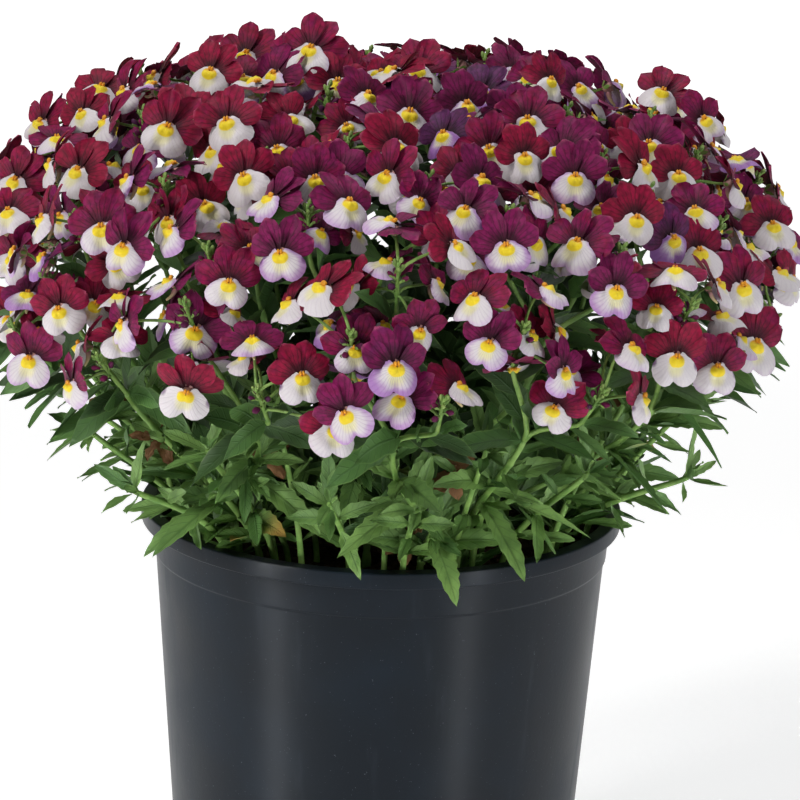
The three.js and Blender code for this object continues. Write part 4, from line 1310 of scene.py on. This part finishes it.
def green_material(name, young, old, roughness):
    """Smooth green of stalks and calyces, a little mottled and redder where the tone is high."""
    shade = Shade(name, Roughness=roughness, Specular_IOR_Level=0.35)
    (tone,) = shade.values("tone")
    base = shade.mix(shade.ramp(shade.noise(240.0, 3.0), 0.35, 0.7), young, old)
    base = shade.mix(shade.ramp(tone, 0.4, 1.6, 0.0, 0.5), base, "7C5A4A")
    return shade.finished(base, shade.noise(900.0, 2.0), 0.0001, 0.3)


def plain_material(name, low, high, roughness):
    shade = Shade(name, Roughness=roughness)
    base = shade.mix(shade.noise(300.0, 4.0), low, high)
    return shade.finished(base, shade.noise(900.0, 3.0), 0.0002, 0.4)


def spur_material():
    """The cup and the spur behind a bloom: pink at the petals, cream towards the tip."""
    shade = Shade("spur", Roughness=0.5)
    (along,) = shade.values("along")
    shade.shine(Base_Color=shade.mix(shade.ramp(along, 0.1, 0.8), "B86A86", "DCCB94"))
    return shade.material


def leaf_material():
    """Matt leaves: a sunk midrib and side veins, paler margins, each leaf a little lighter or darker,
    with painted shade: a tone under 0 darkens a leaf towards deep green.
    """
    shade = Shade("leaf", Roughness=0.48, Specular_IOR_Level=0.4)
    along, across, tone = shade.values("along", "across", "tone")
    side = shade.math("ABSOLUTE", across)
    base = shade.mix(tone, "50763A", "82A658")
    base = shade.mix(shade.ramp(shade.noise(160.0, 3.0), 0.35, 0.7, 0.0, 0.45), base, "426634")
    # painted shade: leaves given a tone under 0 (deep inside, low in the skirt, bracts under the blooms)
    # are darkened towards a deep green that stands in for the shade they lie in
    base = shade.mix(shade.ramp(tone, 0.0, -1.0, 0.0, 0.85), base, "22351C")
    side_veins = shade.ramp(shade.math("SINE", along * 44.0 - side * 9.0), 0.72, 1.0)
    veins = shade.math("MAXIMUM", shade.ramp(side, 0.12, 0.03), side_veins * 0.5)
    base = shade.mix(veins * 0.4, base, "34542A")
    base = shade.mix(shade.ramp(side, 0.86, 1.0, 0.0, 0.35), base, "8DAE62")
    withered = shade.ramp(tone, 0.97, 0.99) * shade.ramp(along, 0.35, 0.9)
    base = shade.mix(withered, base, "9A7B3C")
    return shade.finished(base, 1.0 - veins, 0.0003, 0.5)


def soil_material():
    """Damp dark crumbs with a few pale specks."""
    shade = Shade("soil", Roughness=0.95, Specular_IOR_Level=0.2)
    fine = shade.noise(420.0, 6.0)
    base = shade.mix(shade.ramp(fine, 0.3, 0.75), "261A13", "5E4635")
    base = shade.mix(shade.ramp(shade.noise(900.0, 2.0), 0.7, 0.76), base, "8A7458")
    return shade.finished(base, fine, 0.0012, 0.9)


def pot_material():
    """Satin moulded plastic, blue-black, with a little dust, faint upright scuffs and a fine grain."""
    shade = Shade("pot_plastic", Specular_IOR_Level=0.21, Anisotropic=0.85, Anisotropic_Rotation=0.25)
    tangent = shade.node("ShaderNodeTangent", 0, {}, direction_type="RADIAL", axis="Z")
    upright = shade.node("ShaderNodeMapping", 0, {"Vector": shade.place(), "Scale": (1.0, 1.0, 0.12)})
    scuffs = shade.ramp(shade.noise(160.0, 5.0, upright), 0.56, 0.8)
    dust = shade.ramp(shade.noise(1500.0, 2.0), 0.71, 0.78)
    film = shade.ramp(shade.noise(26.0, 4.0), 0.35, 0.75)
    base = shade.mix(film, "0C131A", "131C25")
    base = shade.mix(scuffs * 0.3, base, "343B42")
    base = shade.mix(dust * 0.6, base, "697077")
    shade.shine(Tangent=tangent, Roughness=(film + scuffs) * 0.09 + 0.38)
    return shade.finished(base, shade.noise(700.0, 3.0), 0.00008, 0.35)


stem_green = green_material("stem", "86AA58", "6A9246", 0.5)
leaf_green = leaf_material()
dry_brown = plain_material("withered", "5A3A22", "8C6238", 0.8)
soil_brown = soil_material()
pot_black = pot_material()
head_materials = [
    petal_material(),
    lip_material(),
    green_material("stalk", "86A655", "648A40", 0.45),
    plain_material("nub", "E8A21E", "D98A12", 0.5),
    spur_material(),
    leaf_green,
]

for number in range(len(heads)):
    head_piece(number, head_materials)


# Stems
def add_square_stem(gathered, points, widths, knots):
    radii = np.interp(np.arange(len(points)), (0, len(points) - 1), np.array(widths) * 0.46)
    for knot in knots:
        nearest = np.argmin([np.linalg.norm(point - knot) for point in points])
        radii[nearest] *= 1.3
    placed, faces, along = tube(points, radii, 8, squareness=0.13)
    gathered.add(placed, faces, STEM, along=along, tone=0.3)


INNER_LEAVES = 18
INNER_LENGTHS = (24, 36)
INNER_RADIUS = 84
INNER_HEIGHT = 12


def add_inner_leaves(gathered, points, draw):
    """Larger leaves in the shade under the blooms; most get a tone under 0, which paints shade on them by
    darkening their green.
    """
    frames = frames_along(points, FRONT)
    for k in range(INNER_LEAVES):
        frame = frames[int(mixed(0.3, 0.97, (k + draw()) / INNER_LEAVES) * (len(frames) - 1))]
        lift = radians(between(draw, 20, 72))
        leaf = leaf_at(frame, k % 4, between(draw, -0.7, 0.7), lift, between(draw, *INNER_LENGTHS))
        tip = on_leaf(leaf, 1, 0, 0)
        inside = hypot(tip[0], tip[1]) < INNER_RADIUS and tip[2] > INNER_HEIGHT
        if inside and not near_blooms(leaf, (0.6, 0.8, 1), SHADED_FROM_BLOOMS):
            # painted shade: a tone from -1 to 0.2 darkens most of these leaves
            add_leaf(gathered, leaf, draw, SHADED_GRID, SHADED_BREADTH, LEAF, between(draw, -1, 0.2))


WHORL_SPACING = 11.5
WHORL_LENGTHS = (20, 13)  # of the leaves at a stem's foot and at its top
# Small leaves in the light, low in the skirt and deep inside: their range of tone, grid and size. A tone
# under 0 is painted shade, which darkens the low and deep leaves.
LIT = ((0, 1), SMALL_GRID, 1.0)
LOW = ((-1, 0.1), SMALL_GRID, 1.0)
DEEP = ((-1, -0.3), SHADED_GRID, 1.4)


def add_whorls(gathered, points, draw, look):
    """Opposite pairs of narrow leaves up a stem, each pair square to the one before."""
    tones_with_painted_shade, grid, size = look
    steps = np.linalg.norm(np.diff(points, axis=0), axis=1)
    count = int(steps.sum() / WHORL_SPACING)
    frames = frames_along(points, FRONT)
    for k in range(1, count):
        share = (k + 0.5) / count
        frame = frames[min(len(frames) - 1, int(share * len(frames)))]
        for side in (k % 2, k % 2 + 2):
            length = mixed(*WHORL_LENGTHS, share) * between(draw, 0.75, 1.2) * size
            lift = between(draw, 12, 52)
            leaf = small_leaf(frame, side, between(draw, -0.4, 0.4), lift, length)
            if not near_blooms(leaf, (0.5, 1), LEAF_FROM_BLOOMS) and not hangs_over_rim(leaf):
                # painted shade: a look whose tones go under 0 darkens these leaves
                add_leaf(gathered, leaf, draw, grid, size, LEAF, between(draw, *tones_with_painted_shade))


WITHERED_EVERY = 3
WITHERED_LOBES = 6
WITHERED_SIZE = 0.62


def add_withered(gathered, frame, draw):
    """A bloom that has dried up: brown lobes crumpled round the end of a short stalk."""
    out = aside(frame, between(draw, -1, 1))
    end = frame["at"] + out * 7 + UP * 3
    stalk = curve_points(frame["at"], frame["at"] + out * 3, end - UP, end, 4)
    points, faces, _ = tube(stalk, [0.5] * len(stalk), 5)
    gathered.add(points, faces, DRY)
    crumpled = {**frame, "at": end, "facing": frame["along"], "size": WITHERED_SIZE}
    for k in range(WITHERED_LOBES):
        foot = np.array([between(draw, -1, 1), between(draw, -1, 1), 0])
        turn = k * 2 * pi / WITHERED_LOBES
        points, _ = lobe_sheet(UPPER_LOBE, foot, turn, between(draw, -1.2, 1.6), draw, "plain")
        points += 0.8 * np.sin(points[:, [1, 2, 0]] * 1.9 + k)
        gathered.add(on_sheet(crumpled, points), grid_faces(*LOBE_GRIDS["plain"]), DRY)


STEM_VALUES = ("along", "across", "tone")
STEM_MATERIALS = [stem_green, leaf_green, dry_brown]


def stem_piece(node, plan, seed):
    draw = seeded_draws(seed)
    gathered = Gathered(STEM_VALUES)
    axis = np.concatenate([[plan["foot"]], curve_points(*plan["bend"], 30)])
    add_whorls(gathered, axis[1:], draw, LIT)
    add_inner_leaves(gathered, axis[1:], draw)
    if seed % WITHERED_EVERY == 0:
        add_withered(gathered, plan["axis"][3], draw)
    knots = [frame["at"] for frame in plan["axis"][1:-1]]
    add_square_stem(gathered, axis, (STEM_FOOT_WIDTH, STEM_TIP_WIDTH), knots)
    leaves = list(plan["leaves"])
    for branch in plan["branches"]:
        knots = [frame["at"] for frame in branch["frames"][1:-1]]
        side = curve_points(*branch["bend"], 24)
        add_whorls(gathered, side, draw, LIT)
        add_inner_leaves(gathered, side, draw)
        add_square_stem(gathered, side, (STEM_SIDE_WIDTH, STEM_TIP_WIDTH), knots)
        leaves += branch["leaves"]
    for leaf in leaves:
        drawn = {**leaf, "length": leaf["length"] * DRAWN_LENGTH, "droop": DRAWN_DROOP}
        add_leaf(gathered, drawn, draw)
        add_tuft(gathered, leaf, draw)
    piece = gathered.piece(f"{node}_leafy", STEM_MATERIALS)
    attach(piece, "root")
    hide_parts(node)


for kind, plans, seed in (("stem", stems, 4000), ("shoot", shoots, 5200)):
    for number, plan in enumerate(plans):
        stem_piece(f"{kind}_{number + 1:02d}", plan, seed + 13 * number)


# Young leafy shoots between the stems: low ones all over, and risers that close the skirt over the rim
LOW_SHOOTS = 44
LOW_SHOOT_RADII = (16, 70)
LOW_SHOOT_HEIGHTS = (8, 56)
LOW_SHOOT_LEAN = (4, 24)
LOW_SHOOT_WIDTHS = (2.7, 1.8)
LOW_SHOOT_CROWN = 7
DEEP_RADIUS = 54
DEEP_HEIGHTS = (40, 98)
RISERS = 30
RISER_FOOT_RADII = (62, 72)
RISER_TIP_RADII = (116, 92)  # of the lowest and of the highest
RISER_HEIGHTS = (22, 66)
RISER_CROWN = 5
CROWN_LIFTS = (30, 78)
CROWN_LENGTHS = (19, 8)


def add_low_shoot(gathered, points, crown_leaves, outward, draw, look):
    add_square_stem(gathered, points, LOW_SHOOT_WIDTHS, [])
    add_whorls(gathered, points, draw, look)
    tones_with_painted_shade, grid, size = look
    crown = frames_along(points, outward)[-1]
    for k in range(crown_leaves):
        share = k / (crown_leaves - 1)
        length = mixed(*CROWN_LENGTHS, share) * size
        leaf = small_leaf(crown, k % 4, between(draw, -0.4, 0.4), mixed(*CROWN_LIFTS, share), length)
        if not hangs_over_rim(leaf):
            # painted shade: a look whose tones go under 0 darkens these crown leaves
            add_leaf(gathered, leaf, draw, grid, size, LEAF, between(draw, *tones_with_painted_shade))


def low_shoots_piece():
    draw = seeded_draws(6421)
    gathered = Gathered(STEM_VALUES)
    for i in range(LOW_SHOOTS):
        outward = azimuth_direction(i * GOLDEN_ANGLE + between(draw, -0.2, 0.2))
        radius = between(draw, *LOW_SHOOT_RADII)
        foot = at_height(outward * radius, -SOIL_DROP)
        deep = radius < DEEP_RADIUS
        height = between(draw, *(DEEP_HEIGHTS if deep else LOW_SHOOT_HEIGHTS))
        top = at_height(outward * (radius + between(draw, *LOW_SHOOT_LEAN)), height)
        points = curve_points(foot, foot + UP * 12, top - UP * 8 - outward * 2, top, 16)
        # the deep and low looks paint shade on their leaves with tones under 0
        add_low_shoot(gathered, points, LOW_SHOOT_CROWN, outward, draw, DEEP if deep else LOW)
    for i in range(RISERS):
        outward = azimuth_direction((i + between(draw, 0.2, 0.8)) / RISERS * 2 * pi)
        foot = at_height(outward * between(draw, *RISER_FOOT_RADII), -SOIL_DROP)
        rise = (i * 0.38 + 0.2) % 1
        top = at_height(outward * mixed(*RISER_TIP_RADII, rise), mixed(*RISER_HEIGHTS, rise))
        points = curve_points(foot, foot + UP * 22, top - UP * mixed(4, 20, rise) - outward * 8, top, 16)
        add_low_shoot(gathered, points, RISER_CROWN, outward, draw, LIT)
        if i % WITHERED_EVERY == 1:
            add_withered(gathered, frames_along(points, outward)[11], draw)
    piece = gathered.piece("low_shoots", STEM_MATERIALS)
    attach(piece, "root")


low_shoots_piece()

# Pot and soil
POT_SEGMENTS = 192
POT_EDGE_RADIUS = 0.7
POT_FOOT_RADIUS = 66
POT_TAPER = 0.0764
POT_WALL = 1.6
POT_FLOOR = 2.4
RIM_BAND = 5.6
STEP_DROP = 11.6
STEP_OUT = 0.7
AXIS_RADIUS = 0.05
DRAINS = 4
DRAIN_RADIUS = 5
DRAIN_RING = 50
DRAIN_SEGMENTS = 24
DRAIN_CUT = 20
SOIL_SEGMENTS = 120
SOIL_RINGS = 34
SOIL_WAVES = ((0.8, 0.29, 1), (0.5, 0.77, 2.2), (0.35, 1.7, 4))  # size, pace, shift
SOIL_LUMPS = 300


def wall_radius(z):
    return POT_FOOT_RADIUS + POT_TAPER * z


def rounded(profile, radius, steps=4):
    """The profile with its inner corners rounded off."""
    points = [profile[0]]
    for before, here, after in zip(profile, profile[1:], profile[2:]):
        before, here, after = (np.array(p, float) for p in (before, here, after))
        reach = min(radius, 0.45 * np.linalg.norm(before - here), 0.45 * np.linalg.norm(after - here))
        start, end = here + unit(before - here) * reach, here + unit(after - here) * reach
        for i in range(steps + 1):
            t = i / steps
            points.append((1 - t) ** 2 * start + 2 * t * (1 - t) * here + t**2 * end)
    return [*points, profile[-1]]


def turned_sheet(profile, segments):
    """A surface of revolution; heights are given from the pot's underside."""
    angles = np.arange(segments) / segments * 2 * pi
    rings = [
        np.stack([r * np.cos(angles), r * np.sin(angles), np.full(segments, z - POT_HEIGHT)], axis=1)
        for r, z in profile
    ]
    return np.concatenate(rings), grid_faces(len(profile), segments, closed=True)


def cut_drains(pot):
    form = bmesh.new()
    for i in range(DRAINS):
        turn = i / DRAINS * 2 * pi
        spot = Vector((cos(turn), sin(turn), 0)) * DRAIN_RING / 1000
        bmesh.ops.create_cone(
            form, cap_ends=True, segments=DRAIN_SEGMENTS, radius1=DRAIN_RADIUS / 1000,
            radius2=DRAIN_RADIUS / 1000, depth=DRAIN_CUT / 1000, matrix=Matrix.Translation(spot))
    mesh = bpy.data.meshes.new("drains")
    form.to_mesh(mesh)
    form.free()
    cutter = linked("drains", mesh)
    cut = pot.modifiers.new("drains", "BOOLEAN")
    cut.object = cutter
    cut.operation = "DIFFERENCE"
    bpy.context.view_layer.update()
    pot.data = bpy.data.meshes.new_from_object(pot.evaluated_get(bpy.context.evaluated_depsgraph_get()))
    pot.modifiers.clear()
    bpy.data.objects.remove(cutter)


def pot_piece():
    band_foot = POT_HEIGHT - RIM_BAND
    step = band_foot - STEP_DROP
    top = wall_radius(band_foot) + STEP_OUT
    profile = [
        (AXIS_RADIUS, 0),
        (POT_FOOT_RADIUS, 0),
        (wall_radius(step), step),
        (wall_radius(step) + STEP_OUT, step + STEP_OUT),
        (top, band_foot),
        (RIM_RADIUS, band_foot),
        (RIM_RADIUS, POT_HEIGHT),
        (top - POT_WALL, POT_HEIGHT),
        (wall_radius(POT_FLOOR) - POT_WALL, POT_FLOOR),
        (AXIS_RADIUS, POT_FLOOR),
    ]
    gathered = Gathered(())
    gathered.add(*turned_sheet(rounded(profile, POT_EDGE_RADIUS), POT_SEGMENTS), 0)
    pot = gathered.piece("pot_shell", [pot_black])
    cut_drains(pot)
    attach(pot, "root")
    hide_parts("pot")


def soil_piece():
    """The soil's body with a rough top, and loose lumps half sunk in it."""
    draw = seeded_draws(5077)
    level = POT_HEIGHT - SOIL_DROP
    inside = wall_radius(level) - POT_WALL - GAP
    bottom = wall_radius(POT_FLOOR) - POT_WALL - 2 * GAP
    profile = [(AXIS_RADIUS, POT_FLOOR + GAP), (bottom, POT_FLOOR + GAP), (inside, level)]
    for t in np.linspace(0.03, 0.999, SOIL_RINGS):
        profile.append((inside * (1 - t), level + SOIL_MOUND * sin(t * pi / 2)))
    points, faces = turned_sheet(profile, SOIL_SEGMENTS)
    x, y, z = points.T
    rough = sum(
        size * np.sin(x * pace + shift) * np.cos(y * pace * 1.1 + 2 * shift)
        for size, pace, shift in SOIL_WAVES
    )
    on_top = (z > -SOIL_DROP + 0.05) & (np.hypot(x, y) < inside - 0.5)
    points[:, 2] += np.where(on_top, rough, 0)
    gathered = Gathered(())
    gathered.add(points, faces, 0)
    for _ in range(SOIL_LUMPS):
        radius = (inside - 2) * sqrt(draw())
        spot = azimuth_direction(draw() * 2 * pi) * radius
        share = 1 - radius / inside
        spot[2] = -SOIL_DROP + SOIL_MOUND * sin(share * pi / 2) + between(draw, -0.4, 0.6)
        sizes = np.array([between(draw, 0.7, 2.4) for _ in range(3)])
        gathered.add(*oval(spot, sizes, 5, 6), 0)
    piece = gathered.piece("soil_rough", [soil_brown])
    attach(piece, "root")
    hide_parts("soil")


pot_piece()
soil_piece()

# Floor: grey, and glowing as painted light, dim near the pot and brighter far from it
FLOOR_CORNERS = [(-7, -7, 0), (7, -7, 0), (7, 7, 0), (-7, 7, 0)]
FLOOR_GREY = (0.88, 0.88, 0.88, 1)
FLOOR_GLOW = (0.42, 1.0)  # near the pot and far from it
FLOOR_GLOW_FROM_TO = (0.5, 1.8)


def floor_piece():
    mesh = bpy.data.meshes.new("floor")
    mesh.from_pydata(FLOOR_CORNERS, [], [(0, 1, 2, 3)])
    ground = linked("floor", mesh)
    shade = Shade("floor", Roughness=0.7, Base_Color=FLOOR_GREY, Emission_Color=(1, 1, 1, 1))
    away = shade.node("ShaderNodeVectorMath", "Value", {0: shade.place()}, operation="LENGTH")
    # painted light: the floor glows, more strongly away from the pot, though it is no lamp
    shade.shine(Emission_Strength=shade.ramp(away, *FLOOR_GLOW_FROM_TO, *FLOOR_GLOW))
    mesh.materials.append(shade.material)


floor_piece()
